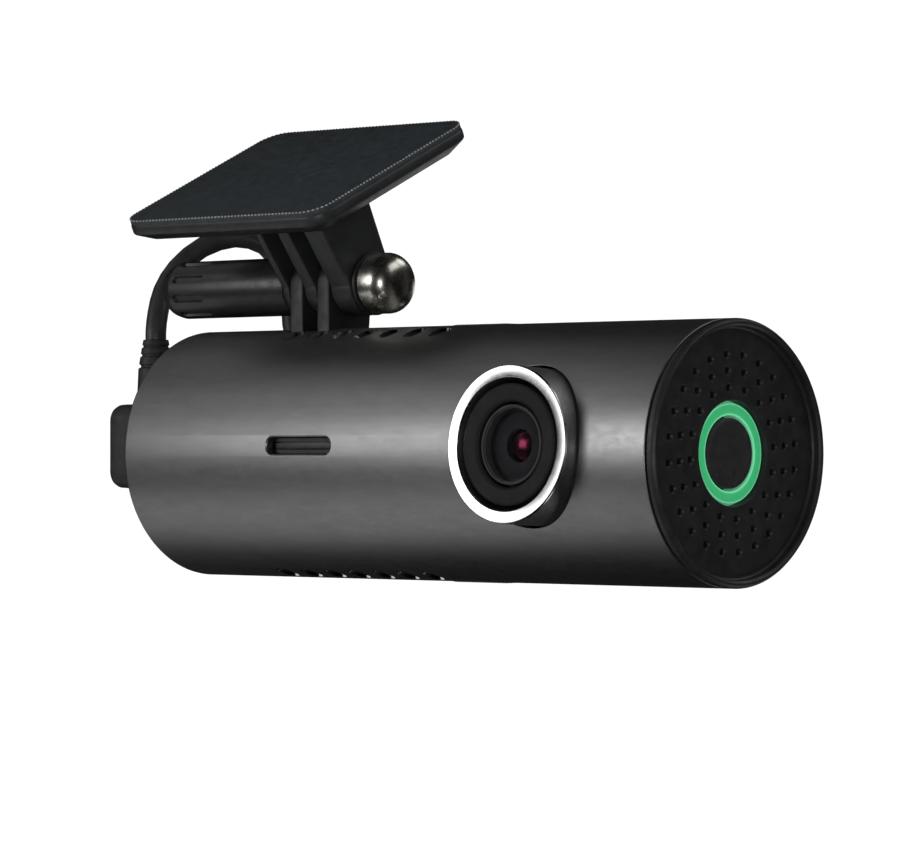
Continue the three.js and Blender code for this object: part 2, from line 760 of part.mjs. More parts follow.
// ---------- power cord ----------
const cord = new THREE.Group();
camera.add(cord);

function plugBody() {
  const bevel = 0.9;
  const outline = roundedRect(
    -PLUG.halfWidth + bevel,
    PLUG.halfWidth - bevel,
    PLUG.z0 + bevel,
    PLUG.z1 - bevel,
    1.2,
  );
  return prismX(outline, PLUG.x0 + bevel, PLUG.x1 - bevel, {
    bevelEnabled: true,
    bevelSize: bevel,
    bevelThickness: bevel,
    bevelSegments: 2,
  });
}
add(cord, "power_plug_overmould", plugBody(), BLACK, 0.55);
const tip = roundedRect(-3.9, 3.9, PORT_Z - 1, PORT_Z + 1, 0.9);
add(cord, "power_plug_tip", prismX(tip, -HOUSING_LENGTH, -80), STEEL, 0.3, 0.9);

const reliefProfile = [
  [0, PLUG.z1 + GAP],
  [2.5, PLUG.z1 + GAP],
  [2.3, 11.2],
  [2, 11.35],
  [2, 11.6],
  [2.2, 11.75],
  [1.7, RELIEF_TOP],
  [0, RELIEF_TOP],
];
const relief = alongZ(turned(reliefProfile, 16)).translate(RELIEF_X, 0, 0);
add(cord, "power_cord_strain_relief", relief, BLACK, 0.55);

// The cord rises behind the knob, arches over behind the hinge and comes down to the hank.
const CORD_ROUTE = [
  [RELIEF_X, 0, RELIEF_TOP + GAP],
  [RELIEF_X - 0.1, 0.1, RELIEF_TOP + 1.2],
  [-99.1, 1.1, 18.5],
  [-100.1, 3.1, 21.6],
  [-100.4, 6, 24.8],
  [-99.4, 9.6, 27.6],
  [-97, 13.3, 29],
  [-94.6, 16.5, 28],
  [-93.1, 18.5, 24.8],
  [-92.2, 19.1, 21.6],
  [-91.4, 19, 15.9],
];
add(cord, "power_cord", tubeAlong(CORD_ROUTE, CORD_R, 18), BLACK, 0.6);

function hankSolid() {
  const right = HANK.left + HANK.run;
  const outline = new THREE.Shape();
  outline.absarc(right, 0, HANK.halfHeight, -Math.PI / 2, Math.PI / 2);
  outline.absarc(HANK.left, 0, HANK.halfHeight, Math.PI / 2, Math.PI * 1.5);
  outline.closePath();
  return prismY(outline, HANK.y0, HANK.y1, { curveSegments: 10 });
}
add(cord, "cord_hank", hankSolid(), BLACK, 0.6);

// The tie's band goes round the hank and the far plug lying on its back.
function hankTie() {
  const band = (margin) => {
    const y0 = HANK.y0 - margin;
    const y1 = HANK.y1 + margin / 2;
    const y2 = FAR_PLUG.y + 3.8 + margin;
    const z = HANK.halfHeight + margin;
    const z2 = FAR_PLUG.z - 6.3 - margin / 2;
    const z3 = FAR_PLUG.z + 6.3 + margin / 2;
    return shapeOf([
      [y0, -z],
      [y1, -z],
      [y2, z2],
      [y2, z3],
      [y1, z],
      [y0, z],
    ]);
  };
  const outer = solid(prismX(band(GAP + TIE.thickness), TIE.x0, TIE.x1));
  return outer.subtract(solid(prismX(band(GAP + 0.05), TIE.x0 - 1, TIE.x1 + 1)));
}
add(cord, "hank_tie", hankTie(), 0x1d1d1f, 0.85);

const [reliefX, mouldX, shellX] = FAR_PLUG.x;
const [reliefLength, mouldLength, shellLength] = FAR_PLUG.length;
const cordTail = rod(CORD_R, TAIL_START, reliefX - GAP, FAR_PLUG.y, FAR_PLUG.z, 8);
add(cord, "power_cord_tail", cordTail, BLACK, 0.6);
const farRelief = turned(
  [
    [0, reliefX],
    [1.7, reliefX],
    [2.7, reliefX + reliefLength],
    [0, reliefX + reliefLength],
  ],
  16,
);
add(cord, "usb_strain_relief", alongX(farRelief).translate(0, FAR_PLUG.y, FAR_PLUG.z), BLACK, 0.55);

// A rounded rectangle around the far plug's axis, in the Y-Z plane.
function plugSection(halfThickness, halfWidth, radius) {
  const { y, z } = FAR_PLUG;
  return roundedRect(y - halfThickness, y + halfThickness, z - halfWidth, z + halfWidth, radius);
}
const mould = plugSection(3.5, 6, 1.6);
const mouldBevel = { bevelEnabled: true, bevelSize: 0.3, bevelThickness: 0.3, bevelSegments: 1 };
const overmould = prismX(mould, mouldX + 0.3, mouldX + mouldLength - 0.3, mouldBevel);
add(cord, "usb_plug_overmould", overmould, BLACK, 0.55);
const usbOuter = prismX(plugSection(2.25, 6, 0.4), shellX, shellX + shellLength);
const usbInner = prismX(plugSection(1.95, 5.7, 0.3), shellX + 1, shellX + shellLength + 1);
add(cord, "usb_plug_shell", solid(usbOuter).subtract(solid(usbInner)), STEEL, 0.3, 0.95);
const tongue = box(shellX + 1.3, shellX + shellLength - 0.6, -1.6, 0.2, -5.2, 5.2);
add(cord, "usb_plug_tongue", tongue.translate(0, FAR_PLUG.y, FAR_PLUG.z), 0xe7e7e2, 0.5);

// ---------- the origin goes to the centre of the adhesive face ----------
const faceT = (PLATE.t0 + PLATE.t1) / 2;
const faceCentre = vec(0, faceT, PLATE.top).applyAxisAngle(vec(1, 0, 0), SLOPE);
assembly.position.set(
  -(PLATE.x0 + PLATE.x1) / 2,
  -(HINGE_Y + faceCentre.y),
  -(HINGE_Z + faceCentre.z),
);

export default assembly;
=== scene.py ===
"""Looks of the dash camera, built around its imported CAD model. Metres, +Z up, in the model's frame.

Most pieces are drawn in housing coordinates: millimetres, with the camera tube's axis on X and the
face of its loudspeaker grille at x = 0. The lens looks towards -Y.
"""

import json
import math

import bmesh
import bpy
from mathutils import Matrix, Vector


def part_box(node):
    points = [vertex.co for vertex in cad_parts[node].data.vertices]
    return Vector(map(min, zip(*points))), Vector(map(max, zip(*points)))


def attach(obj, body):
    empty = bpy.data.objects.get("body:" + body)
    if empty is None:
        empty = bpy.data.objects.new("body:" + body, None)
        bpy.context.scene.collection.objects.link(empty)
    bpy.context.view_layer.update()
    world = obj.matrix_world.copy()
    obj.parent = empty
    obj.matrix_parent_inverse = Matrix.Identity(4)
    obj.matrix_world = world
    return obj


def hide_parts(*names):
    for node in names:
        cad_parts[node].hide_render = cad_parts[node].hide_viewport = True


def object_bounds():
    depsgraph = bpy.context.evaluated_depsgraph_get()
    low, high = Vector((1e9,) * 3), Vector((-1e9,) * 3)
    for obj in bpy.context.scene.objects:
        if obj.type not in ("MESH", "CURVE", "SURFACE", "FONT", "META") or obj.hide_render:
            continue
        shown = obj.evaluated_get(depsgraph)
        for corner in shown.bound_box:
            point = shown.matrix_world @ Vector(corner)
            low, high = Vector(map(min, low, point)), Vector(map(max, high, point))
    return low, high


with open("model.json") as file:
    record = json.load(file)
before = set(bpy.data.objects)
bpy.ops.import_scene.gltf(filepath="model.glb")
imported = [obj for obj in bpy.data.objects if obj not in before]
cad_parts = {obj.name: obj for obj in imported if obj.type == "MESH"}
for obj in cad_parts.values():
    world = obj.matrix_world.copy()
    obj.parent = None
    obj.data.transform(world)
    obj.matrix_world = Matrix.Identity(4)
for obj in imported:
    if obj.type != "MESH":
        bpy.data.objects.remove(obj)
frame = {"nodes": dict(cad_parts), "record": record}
cad_low, cad_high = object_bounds()

MM = 0.001
GAP = 0.3  # air between neighbouring pieces
HOUSING_R = 15.8
tube_low, tube_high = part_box("casing_tube")
# The tube starts half a gap behind the grille's face, and its box is centred on its axis.
HOUSING = Vector((
    tube_high.x + 0.5 * GAP * MM,
    (tube_low.y + tube_high.y) / 2,
    (tube_low.z + tube_high.z) / 2,
))
TO_FRAME = Matrix.Translation(HOUSING) @ Matrix.Scale(MM, 4)


def place(x, y, z):
    """A point in housing millimetres, as a point of the frame."""
    return TO_FRAME @ Vector((x, y, z))


# ---------------------------------------------------------------- camera
# It is placed so that the render lines up with the photo.
scene = bpy.context.scene
lens_data = bpy.data.cameras.new("photo_camera")
lens_data.lens = 173.59
lens_data.sensor_width = 36
lens_data.clip_start = 0.01
lens_data.clip_end = 20
photo_camera = bpy.data.objects.new("photo_camera", lens_data)
photo_camera.location = place(321.2, -392.6, 0.06)
photo_camera.rotation_euler = (math.radians(90.262), 0, math.radians(43.02))
scene.collection.objects.link(photo_camera)
scene.camera = photo_camera


# ---------------------------------------------------------------- materials
class Shade:
    """Builds one procedural material around a Principled shader."""

    def __init__(self, name, **sockets):
        self.material = bpy.data.materials.new(name)
        self.material.use_nodes = True
        self.tree = self.material.node_tree
        self.tree.nodes.clear()
        self.output = self.node("ShaderNodeOutputMaterial")
        self.shader = self.node("ShaderNodeBsdfPrincipled")
        self.tree.links.new(self.shader.outputs["BSDF"], self.output.inputs["Surface"])
        self.coordinates = self.node("ShaderNodeTexCoord").outputs["Object"]
        self.normal = None
        for socket, value in sockets.items():
            self.shader.inputs[socket.replace("_", " ")].default_value = value

    def node(self, kind, **values):
        made = self.tree.nodes.new(kind)
        for key, value in values.items():
            if hasattr(made, key):
                setattr(made, key, value)
            else:
                made.inputs[key.replace("_", " ")].default_value = value
        return made

    def link(self, source, target):
        self.tree.links.new(source, target)

    def stretched(self, stretch):
        mapping = self.node("ShaderNodeMapping")
        mapping.inputs["Scale"].default_value = stretch
        self.link(self.coordinates, mapping.inputs["Vector"])
        return mapping.outputs["Vector"]

    def noise(self, size, detail=3.0, rough=0.55, stretch=(1, 1, 1)):
        """Noise whose features are about size millimetres across."""
        made = self.node("ShaderNodeTexNoise", Scale=1 / (size * MM), Detail=detail, Roughness=rough)
        self.link(self.stretched(stretch), made.inputs["Vector"])
        return made.outputs["Fac"]

    def ramp(self, source, stops):
        made = self.node("ShaderNodeValToRGB")
        elements = made.color_ramp.elements
        while len(elements) < len(stops):
            elements.new(0.5)
        for element, (position, colour) in zip(elements, stops):
            element.position = position
            element.color = (*colour, 1)
        self.link(source, made.inputs["Fac"])
        return made.outputs["Color"]

    def spread(self, source, low, high, start=0.3, end=0.7):
        """Maps start to end, by default the middle of a noise, onto low to high."""
        made = self.node("ShaderNodeMapRange", From_Min=start, From_Max=end, To_Min=low, To_Max=high)
        self.link(source, made.inputs["Value"])
        return made.outputs["Result"]

    def colour(self, source, socket="Base Color"):
        self.link(source, self.shader.inputs[socket])

    def mottle(self, dark, light, size, **noise):
        """A colour that drifts between two tones."""
        self.colour(self.ramp(self.noise(size, **noise), [(0.3, dark), (0.7, light)]))

    def roughness(self, low, high, size, **noise):
        self.link(self.spread(self.noise(size, **noise), low, high), self.shader.inputs["Roughness"])

    def bump(self, source, depth, strength=1.0):
        """Adds relief of about depth millimetres."""
        made = self.node("ShaderNodeBump", Strength=strength, Distance=depth * MM)
        self.link(source, made.inputs["Height"])
        if self.normal:
            self.link(self.normal, made.inputs["Normal"])
        self.normal = made.outputs["Normal"]
        self.link(self.normal, self.shader.inputs["Normal"])

    def soft_edges(self, radius):
        """Rounds the shading of cut edges over radius millimetres."""
        self.normal = self.node("ShaderNodeBevel", samples=6, Radius=radius * MM).outputs["Normal"]
        self.link(self.normal, self.shader.inputs["Normal"])


def plastic(name, dark, light, rough, grain=0.35, relief=0.006, **sockets):
    """Moulded plastic or rubber: two near tones, uneven gloss and a fine moulded grain."""
    shade = Shade(name, **sockets)
    shade.mottle(dark, light, 5 * grain)
    shade.roughness(rough - 0.06, rough + 0.06, 3 * grain)
    shade.bump(shade.noise(grain, detail=2), relief)
    return shade.material


def metal(name, dark, light, rough, grain=0.2, relief=0.002, stretch=(1, 1, 1), **sockets):
    """Bare or plated metal with a fine grain, which stretch can draw out."""
    shade = Shade(name, Metallic=1.0, **sockets)
    shade.mottle(dark, light, 6 * grain, stretch=stretch)
    shade.roughness(rough * 0.8, rough * 1.2, 2 * grain, stretch=stretch)
    shade.bump(shade.noise(grain, detail=2, stretch=stretch), relief)
    return shade.material


def grey(value, warm=0.0):
    return (value * (1 + warm), value, value * (1 - warm))


def casing_material():
    """Gunmetal anodised aluminium: blasted grain with faint drawing lines along the tube."""
    shade = Shade("casing_gunmetal", Metallic=1.0)
    shade.soft_edges(0.12)
    shade.mottle(grey(0.33), grey(0.37), 1.0, detail=5, stretch=(0.25, 1, 1))
    shade.roughness(0.4, 0.46, 0.5, detail=4, stretch=(0.4, 1, 1))
    shade.bump(shade.noise(0.16, detail=2), 0.0012)
    shade.bump(shade.noise(0.4, detail=3, stretch=(0.06, 1, 1)), 0.0004)
    return shade.material


MATERIALS = {
    "casing_metal": casing_material(),
    "black_plastic": plastic("grained_black_plastic", grey(0.0055), grey(0.0095), 0.48),
    "steel": metal("plated_steel", grey(0.5), grey(0.62), 0.3),
    "lens_black_metal": metal("anodised_black", grey(0.018), grey(0.03), 0.4, relief=0.001),
    "bare_aluminium": metal("extruded_aluminium", grey(0.55), grey(0.7), 0.35, stretch=(0.2, 1, 1)),
    "insert_brass": metal("turned_brass", (0.52, 0.36, 0.13), (0.66, 0.48, 0.2), 0.3),
    "circuit_board": plastic("solder_mask", (0.01, 0.09, 0.035), (0.02, 0.14, 0.06), 0.35, grain=0.8),
    "led_resin": plastic("led_resin", (0.6, 0.75, 0.5), (0.8, 0.9, 0.7), 0.25),
    "cone_paper": plastic("cone_paper", grey(0.02), grey(0.05), 0.85, grain=0.25, relief=0.02),
    "gloss_black": plastic(
        "satin_black", grey(0.007), grey(0.01), 0.6, grain=0.6, relief=0.001, Specular_IOR_Level=0.12
    ),
    "ribbon_film": plastic("ribbon_film", (0.45, 0.17, 0.03), (0.6, 0.26, 0.06), 0.3),
    "chip_resin": plastic("chip_resin", grey(0.02), grey(0.04), 0.5, grain=0.15),
    "battery_wrap": plastic("battery_wrap", (0.03, 0.07, 0.25), (0.05, 0.1, 0.32), 0.3, grain=1.0),
    "card_black": plastic("card_black", grey(0.012), grey(0.022), 0.45, grain=0.2),
    "mount_plastic": plastic(
        "mount_plastic", grey(0.0095, -0.06), grey(0.0145, -0.06), 0.42, relief=0.004
    ),
    "plug_rubber": plastic("plug_rubber", grey(0.008), grey(0.013), 0.6, grain=0.25, relief=0.008),
}


def coat(name, tones, gloss, relief, **sockets):
    """A plain finish, from its mottle (dark, light, size), its roughness (low, high, size) and its
    relief (size, depth). A fourth number in the first two is the noise's detail."""
    shade = Shade(name, **sockets)
    for draw, values in ((shade.mottle, tones), (shade.roughness, gloss)):
        draw(*values[:3], detail=(*values, 3.0)[3])
    shade.bump(shade.noise(relief[0]), relief[1])
    return shade.material


def cord_material():
    """Smooth PVC jacket with the faint waviness of its wires."""
    shade = Shade("cord_jacket")
    shade.mottle(grey(0.012), grey(0.02), 3.0)
    shade.roughness(0.38, 0.52, 1.5)
    shade.bump(shade.noise(2.4, detail=1), 0.02)
    shade.bump(shade.noise(0.2), 0.002)
    return shade.material


def tie_material():
    """Woven hook-and-loop tape: crossed ribs with fuzz."""
    shade = Shade("woven_tape", Sheen_Weight=0.12)
    shade.mottle(grey(0.012), grey(0.03), 0.6)
    shade.roughness(0.8, 0.95, 0.8)
    for direction in ("X", "DIAGONAL"):
        ribs = shade.node("ShaderNodeTexWave", bands_direction=direction, Scale=520.0, Distortion=1.2)
        shade.link(shade.coordinates, ribs.inputs["Vector"])
        shade.bump(ribs.outputs["Fac"], 0.05)
    return shade.material


def light_ring_material():
    """Frosted green light guide: the light runs brighter along its two edges."""
    shade = Shade("green_light_guide", Roughness=0.35)
    vector = shade.coordinates
    for operation, operand in (("SUBTRACT", HOUSING), ("MULTIPLY", (0, 1, 1))):
        step = shade.node("ShaderNodeVectorMath", operation=operation)
        step.inputs[1].default_value = operand
        shade.link(vector, step.inputs[0])
        vector = step.outputs["Vector"]
    radius = shade.node("ShaderNodeVectorMath", operation="LENGTH")
    shade.link(vector, radius.inputs[0])
    share = shade.spread(radius.outputs["Value"], 0, 1, LED_RING["inner"] * MM, LED_RING["outer"] * MM)
    edge, middle = (0.15, 0.55, 0.3), (0.02, 0.28, 0.1)
    stops = [(0.0, edge), (0.22, middle), (0.78, middle), (1.0, edge)]
    glow = shade.ramp(share, stops)
    shade.colour(glow)
    shade.colour(glow, "Emission Color")
    shade.shader.inputs["Emission Strength"].default_value = 0.3
    shade.bump(shade.noise(0.5), 0.002)
    return shade.material


def glass_material(name, tint, gloss_tint, rough=0.05, index=1.6):
    """Coated glass, thin enough to look straight through."""
    shade = Shade(name)
    shade.tree.nodes.remove(shade.shader)
    clear = shade.node("ShaderNodeBsdfTransparent", Color=(*tint, 1))
    gloss = shade.node("ShaderNodeBsdfGlossy", Color=(*gloss_tint, 1), Roughness=rough)
    share = shade.node("ShaderNodeFresnel", IOR=index)
    mixed = shade.node("ShaderNodeMixShader")
    smear = shade.node("ShaderNodeBump", Strength=0.03, Distance=0.001 * MM)
    shade.link(shade.noise(0.8), smear.inputs["Height"])
    shade.link(smear.outputs["Normal"], gloss.inputs["Normal"])
    shade.link(share.outputs["Fac"], mixed.inputs["Fac"])
    shade.link(clear.outputs["BSDF"], mixed.inputs[1])
    shade.link(gloss.outputs["BSDF"], mixed.inputs[2])
    shade.link(mixed.outputs["Shader"], shade.output.inputs["Surface"])
    return shade.material


LED_RING = {"inner": 4.45, "outer": 5.9, "depth": 0.5}
MATERIALS["chrome_trim"] = coat(
    "polished_chrome", (grey(0.78), grey(0.84), 3), (0.06, 0.12, 1.5, 4), (0.7, 0.0006), Metallic=1.0
)
MATERIALS["bolt_metal"] = coat(  # dark nickel
    "dark_nickel", ((0.7, 0.68, 0.61), (0.78, 0.76, 0.68), 2.5), (0.24, 0.3, 1.0), (0.6, 0.0004),
    Metallic=1.0,
)
MATERIALS["adhesive_foam"] = coat(  # blue-black acrylic foam
    "adhesive_foam", ((0.0105, 0.0155, 0.0185), (0.0155, 0.022, 0.026), 1.2, 5), (0.5, 0.66, 2.0),
    (0.22, 0.006),
)
MATERIALS["cord_rubber"] = cord_material()
MATERIALS["tie_fabric"] = tie_material()
MATERIALS["green_light"] = light_ring_material()
MATERIALS["lens_glass"] = glass_material(
    "coated_glass", (0.84, 0.83, 0.85), (0.09, 0.09, 0.1), index=1.17
)


# ---------------------------------------------------------------- shape helpers
def rounded(points, radius=0.0, closed=True, steps=4):
    """An outline with each corner replaced by an arc. A point's third number is its own radius."""
    out = []
    for i, point in enumerate(points):
        here = Vector(point[:2])
        r = point[2] if len(point) > 2 else radius
        inner = closed or 0 < i < len(points) - 1
        if r <= 0 or not inner:
            out.append(here)
            continue
        back = Vector(points[i - 1][:2]) - here
        ahead = Vector(points[(i + 1) % len(points)][:2]) - here
        half = back.angle(ahead) / 2
        if half > math.radians(88.5):
            out.append(here)
            continue
        reach = min(r / math.tan(half), back.length * 0.49, ahead.length * 0.49)
        centre = here + (back.normalized() + ahead.normalized()).normalized() * (reach / math.cos(half))
        start = here + back.normalized() * reach - centre
        end = here + ahead.normalized() * reach - centre
        sweep = math.atan2(start.cross(end), start.dot(end))
        for k in range(steps + 1):
            out.append(centre + Matrix.Rotation(sweep * k / steps, 2) @ start)
    return out


def rect(u, v, radius=0.0, steps=4):
    """A rectangle round the origin, from its half sizes."""
    return rounded([(-u, -v), (u, -v), (u, v), (-u, v)], radius, steps=steps)


def level(outline, height):
    """An outline's points in a local X-Y plane at the height."""
    return [(p[0], p[1], height) for p in outline]


def pill(half_length, half_height, steps=10):
    """A stadium outline round the origin, as (x, z) points."""
    straight = half_length - half_height
    out = []
    for side, first in ((1, -90), (-1, 90)):
        for k in range(steps + 1):
            turn = math.radians(first + 180 * k / steps)
            round_end = Vector((math.cos(turn), math.sin(turn))) * half_height
            out.append(Vector((side * straight, 0)) + round_end)
    return out


def circle(radius, steps):
    turns = (2 * math.pi * k / steps for k in range(steps))
    return [Vector((radius * math.cos(turn), radius * math.sin(turn))) for turn in turns]


def skin(rings, loop=False):
    """Faces between rings of equal length, with caps on the two end rings or a closed loop."""
    bm = bmesh.new()
    rows = [[bm.verts.new(p) for p in ring] for ring in rings]
    pairs = list(zip(rows, rows[1:]))
    if loop:
        pairs.append((rows[-1], rows[0]))
    for a, b in pairs:
        for i in range(len(a)):
            j = (i + 1) % len(a)
            bm.faces.new((a[i], a[j], b[j], b[i]))
    if not loop:
        bm.faces.new(rows[0][::-1])
        bm.faces.new(rows[-1])
    return bm


def lathe(profile, segments):
    """A turned body round +Z from (radius, height) points, closed on the axis or on itself."""
    bm = bmesh.new()
    rows = []
    for r, a in profile:
        if r < 1e-6:
            rows.append([bm.verts.new((0, 0, a))])
        else:
            rows.append([
                bm.verts.new((r * math.cos(t), r * math.sin(t), a))
                for t in (2 * math.pi * k / segments for k in range(segments))
            ])
    on_axis = len(rows[0]) == 1 or len(rows[-1]) == 1
    pairs = list(zip(rows, rows[1:])) + ([] if on_axis else [(rows[-1], rows[0])])
    for a, b in pairs:
        for i in range(segments):
            j = (i + 1) % segments
            corners = [a[i % len(a)], a[j % len(a)], b[j % len(b)], b[i % len(b)]]
            corners = list(dict.fromkeys(corners))
            if len(corners) > 2:
                bm.faces.new(corners)
    return bm


def prism(outline, low, high):
    """An outline in the local X-Y plane pulled along +Z."""
    return skin([level(outline, low), level(outline, high)])


def round_edges(bm, radius, segments=3, angle=35):
    """Rounds every edge sharper than the angle."""
    bm.normal_update()
    sharp = [e for e in bm.edges if len(e.link_faces) == 2 and e.calc_face_angle(0) > math.radians(angle)]
    bmesh.ops.bevel(
        bm, geom=sharp, offset=radius, segments=segments, profile=0.5, affect="EDGES", clamp_overlap=True
    )
    return bm


ALONG_X = Matrix(((0, 0, 1, 0), (1, 0, 0, 0), (0, 1, 0, 0), (0, 0, 0, 1)))  # local X-Y is housing Y-Z


def moved(bm, *matrices):
    for matrix in matrices:
        bmesh.ops.transform(bm, matrix=matrix, verts=bm.verts)
    return bm


def at(x, y, z):
    return Matrix.Translation((x, y, z))


def spin(degrees, axis="X"):
    return Matrix.Rotation(math.radians(degrees), 4, axis)


def slab(x0, x1, y0, y1, low, high, radius=0.0):
    """A block with rounded upright edges."""
    return prism(rounded([(x0, y0), (x1, y0), (x1, y1), (x0, y1)], radius), low, high)


def turned(profile, segments, *placement, closed=True, steps=4):
    """A turned body from a profile with rounded corners, moved into its place."""
    return moved(lathe(rounded(profile, closed=closed, steps=steps), segments), *placement)


def raw_object(name, bm):
    """A mesh object from housing millimetres."""
    bmesh.ops.recalc_face_normals(bm, faces=bm.faces)
    mesh = bpy.data.meshes.new(name)
    bm.to_mesh(mesh)
    bm.free()
    mesh.transform(TO_FRAME)
    made = bpy.data.objects.new(name, mesh)
    scene.collection.objects.link(made)
    return made


def carve(target, cutters, operation="DIFFERENCE", cut_face=None):
    """Applies a boolean with one mesh of closed cutters, given in housing millimetres."""
    tool = raw_object("tool", cutters)
    step = target.modifiers.new("carve", "BOOLEAN")
    if cut_face:
        tool.data.materials.append(cut_face)
        step.material_mode = "TRANSFER"
    step.operation = operation
    step.solver = "EXACT"
    step.object = tool
    result = bpy.data.meshes.new_from_object(target.evaluated_get(bpy.context.evaluated_depsgraph_get()))
    target.modifiers.clear()
    old = target.data
    target.data = result
    bpy.data.meshes.remove(old)
    bpy.data.objects.remove(tool)
    return target


def piece(shape, name, slot, body, *nodes, sharp=38, material=None):
    """Names a shape, gives it its material and body, and hides the CAD nodes that it stands for."""
    made = raw_object(name, shape) if isinstance(shape, bmesh.types.BMesh) else shape
    made.name = name
    made.data.name = name
    if made.data.materials:
        made.data.materials[0] = material or MATERIALS[slot]
    else:
        made.data.materials.append(material or MATERIALS[slot])
    made.data.polygons.foreach_set("use_smooth", [True] * len(made.data.polygons))
    made.data.set_sharp_from_angle(angle=math.radians(sharp))
    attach(made, body)
    if nodes:
        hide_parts(*nodes)
    return made


# ---------------------------------------------------------------- power cord
CORD_D = 2.8
RELIEF_X = -98.3
RELIEF_TOP = 15.0
# The route's points are those of the CAD cord, but the first one lies closer to the relief.
CORD_ROUTE = [
    (RELIEF_X, 0, RELIEF_TOP + 0.02), (RELIEF_X - 0.1, 0.1, RELIEF_TOP + 1.2), (-99.1, 1.1, 18.5),
    (-100.1, 3.1, 21.6), (-100.4, 6, 24.8), (-99.4, 9.6, 27.6), (-97, 13.3, 29), (-94.6, 16.5, 28),
    (-93.1, 18.5, 24.8), (-92.2, 19.1, 21.6), (-92, 19, 19.4),
]
# The folds are the radii of the hank's three layers, and y0 is its first row's y.
HANK = {"left": -88.4, "run": 45, "turns": 6, "folds": (8.4, 11.2, 14.0), "y0": 21.8}
# The x values and lengths are those of the far plug's sleeve, its body and its shell.
FAR_PLUG = {"y": 44.1, "z": 1.9, "x": (-86.5, -74.2, -45.9), "length": (12, 28, 18.5)}
STEP = 2.4  # spacing of the cord's points
LAST_SHARE = 0.512  # the share of one more turn that the cord runs before its last fold


def catmull(points, spacing):
    """A smooth line through the points, resampled to about the spacing."""
    ends = [points[0] * 2 - points[1], *points, points[-1] * 2 - points[-2]]
    out = []
    for a, b, c, d in zip(ends, ends[1:], ends[2:], ends[3:]):
        count = max(2, round((c - b).length / spacing))
        for k in range(count):
            t = k / count
            bend = (2 * a - 5 * b + 4 * c - d) * t * t
            out.append(0.5 * (2 * b + (c - a) * t + bend + (3 * b - a - 3 * c + d) * t ** 3))
    out.append(points[-1])
    return out


def hank_point(radius, along):
    """A point of a racetrack turn in X and Z, counted from the left end of the top run towards +X."""
    run, fold = HANK["run"], math.pi * radius
    left, right = HANK["left"], HANK["left"] + HANK["run"]
    s = along * 2 * (run + fold)
    if s < run:
        return left + s, radius
    s -= run
    if s < fold:
        return right + radius * math.sin(s / radius), radius * math.cos(s / radius)
    s -= fold
    if s < run:
        return right - s, -radius
    s -= run
    return left - radius * math.sin(s / radius), -radius * math.cos(s / radius)


def smooth_step(t):
    t = min(1.0, max(0.0, t))
    return t * t * (3 - 2 * t)


def cord_line():
    """Every point of the cord, from the strain relief to the far plug."""
    line = catmull([Vector(p) for p in CORD_ROUTE], STEP)
    lead, first_y = HANK["folds"][1], CORD_ROUTE[-1][1]
    x, _, z = CORD_ROUTE[-1]
    corner = Vector((x + lead, first_y, z))
    for k in range(1, 9):  # the quarter turn into the hank
        turn = math.radians(90 * k / 9)
        line.append(corner + Vector((-lead * math.cos(turn), 0, -lead * math.sin(turn))))
    inner = HANK["folds"][0]
    start = (x + lead - HANK["left"]) / (2 * (HANK["run"] + math.pi * inner))
    y0, turns, layers = HANK["y0"], HANK["turns"], HANK["folds"]
    change = 0.2  # the share of a turn in which the cord climbs to the next layer
    settle = 0.16  # the share of a turn in which it moves over to the hank's first row
    phase, total = start, turns * len(layers)
    while phase < total + LAST_SHARE:
        layer = min(int(phase / turns), len(layers) - 1)
        within = phase - layer * turns
        rise = smooth_step(1 - (turns - within) / change) if layer < len(layers) - 1 else 0
        radius = layers[layer] + rise * CORD_D
        across = min(1.0, max(0.0, (within - start) / (turns - start - change)))
        across = across if layer % 2 == 0 else 1 - across
        y = y0 + across * turns * CORD_D
        if layer == 0:
            y -= (y0 - first_y) * (1 - smooth_step((within - start) / settle))
        px, pz = hank_point(radius, phase % 1.0)
        line.append(Vector((px, y, pz)))
        phase += STEP / (2 * (HANK["run"] + math.pi * radius))
    # The bottom run goes on to the last fold, which swings out onto the hank's back.
    bend = (FAR_PLUG["z"] + layers[-1]) / 2
    turn_x = FAR_PLUG["x"][0] - 5.2
    last = line[-1]
    for k in range(1, 3):
        line.append(Vector((last.x + (turn_x - last.x) * k / 2.5, last.y, -layers[-1])))
    for k in range(0, 13):
        turn = math.radians(180 * k / 12)
        line.append(Vector((
            turn_x - bend * math.sin(turn),
            last.y + (FAR_PLUG["y"] - last.y) * smooth_step(k / 12),
            -layers[-1] + bend * (1 - math.cos(turn)),
        )))
    line.append(Vector((FAR_PLUG["x"][0] - GAP, FAR_PLUG["y"], FAR_PLUG["z"])))
    return line


cord_points = [place(*p) for p in cord_line()]
cord_curve = bpy.data.curves.new("power_cord_run", "CURVE")
cord_curve.dimensions = "3D"
cord_curve.bevel_depth = CORD_D / 2 * MM
cord_curve.bevel_resolution = 4
cord_curve.use_fill_caps = True
spline = cord_curve.splines.new("POLY")
spline.points.add(len(cord_points) - 1)
for spot, p in zip(spline.points, cord_points):
    spot.co = (*p, 1)
spline.use_smooth = True
cord = bpy.data.objects.new("power_cord_run", cord_curve)
scene.collection.objects.link(cord)
cord_curve.materials.append(MATERIALS["cord_rubber"])
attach(cord, "camera")
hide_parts("power_cord", "cord_hank", "power_cord_tail")


# ---------------------------------------------------------------- camera housing
HOUSING_LENGTH = 87.5
INNER_R = 14.6
LENS_X = -19.7
LENS_ROLL = 3.5
LENS_HOLE = 9.6
SLOT = {"x": -56.05, "width": 11.14, "height": 2.12, "z": 0.95, "depth": 1.2}
VENT = {"count": 7, "pitch": 4.2, "width": 1.54, "length": 2.74, "chamfer": 0.38}
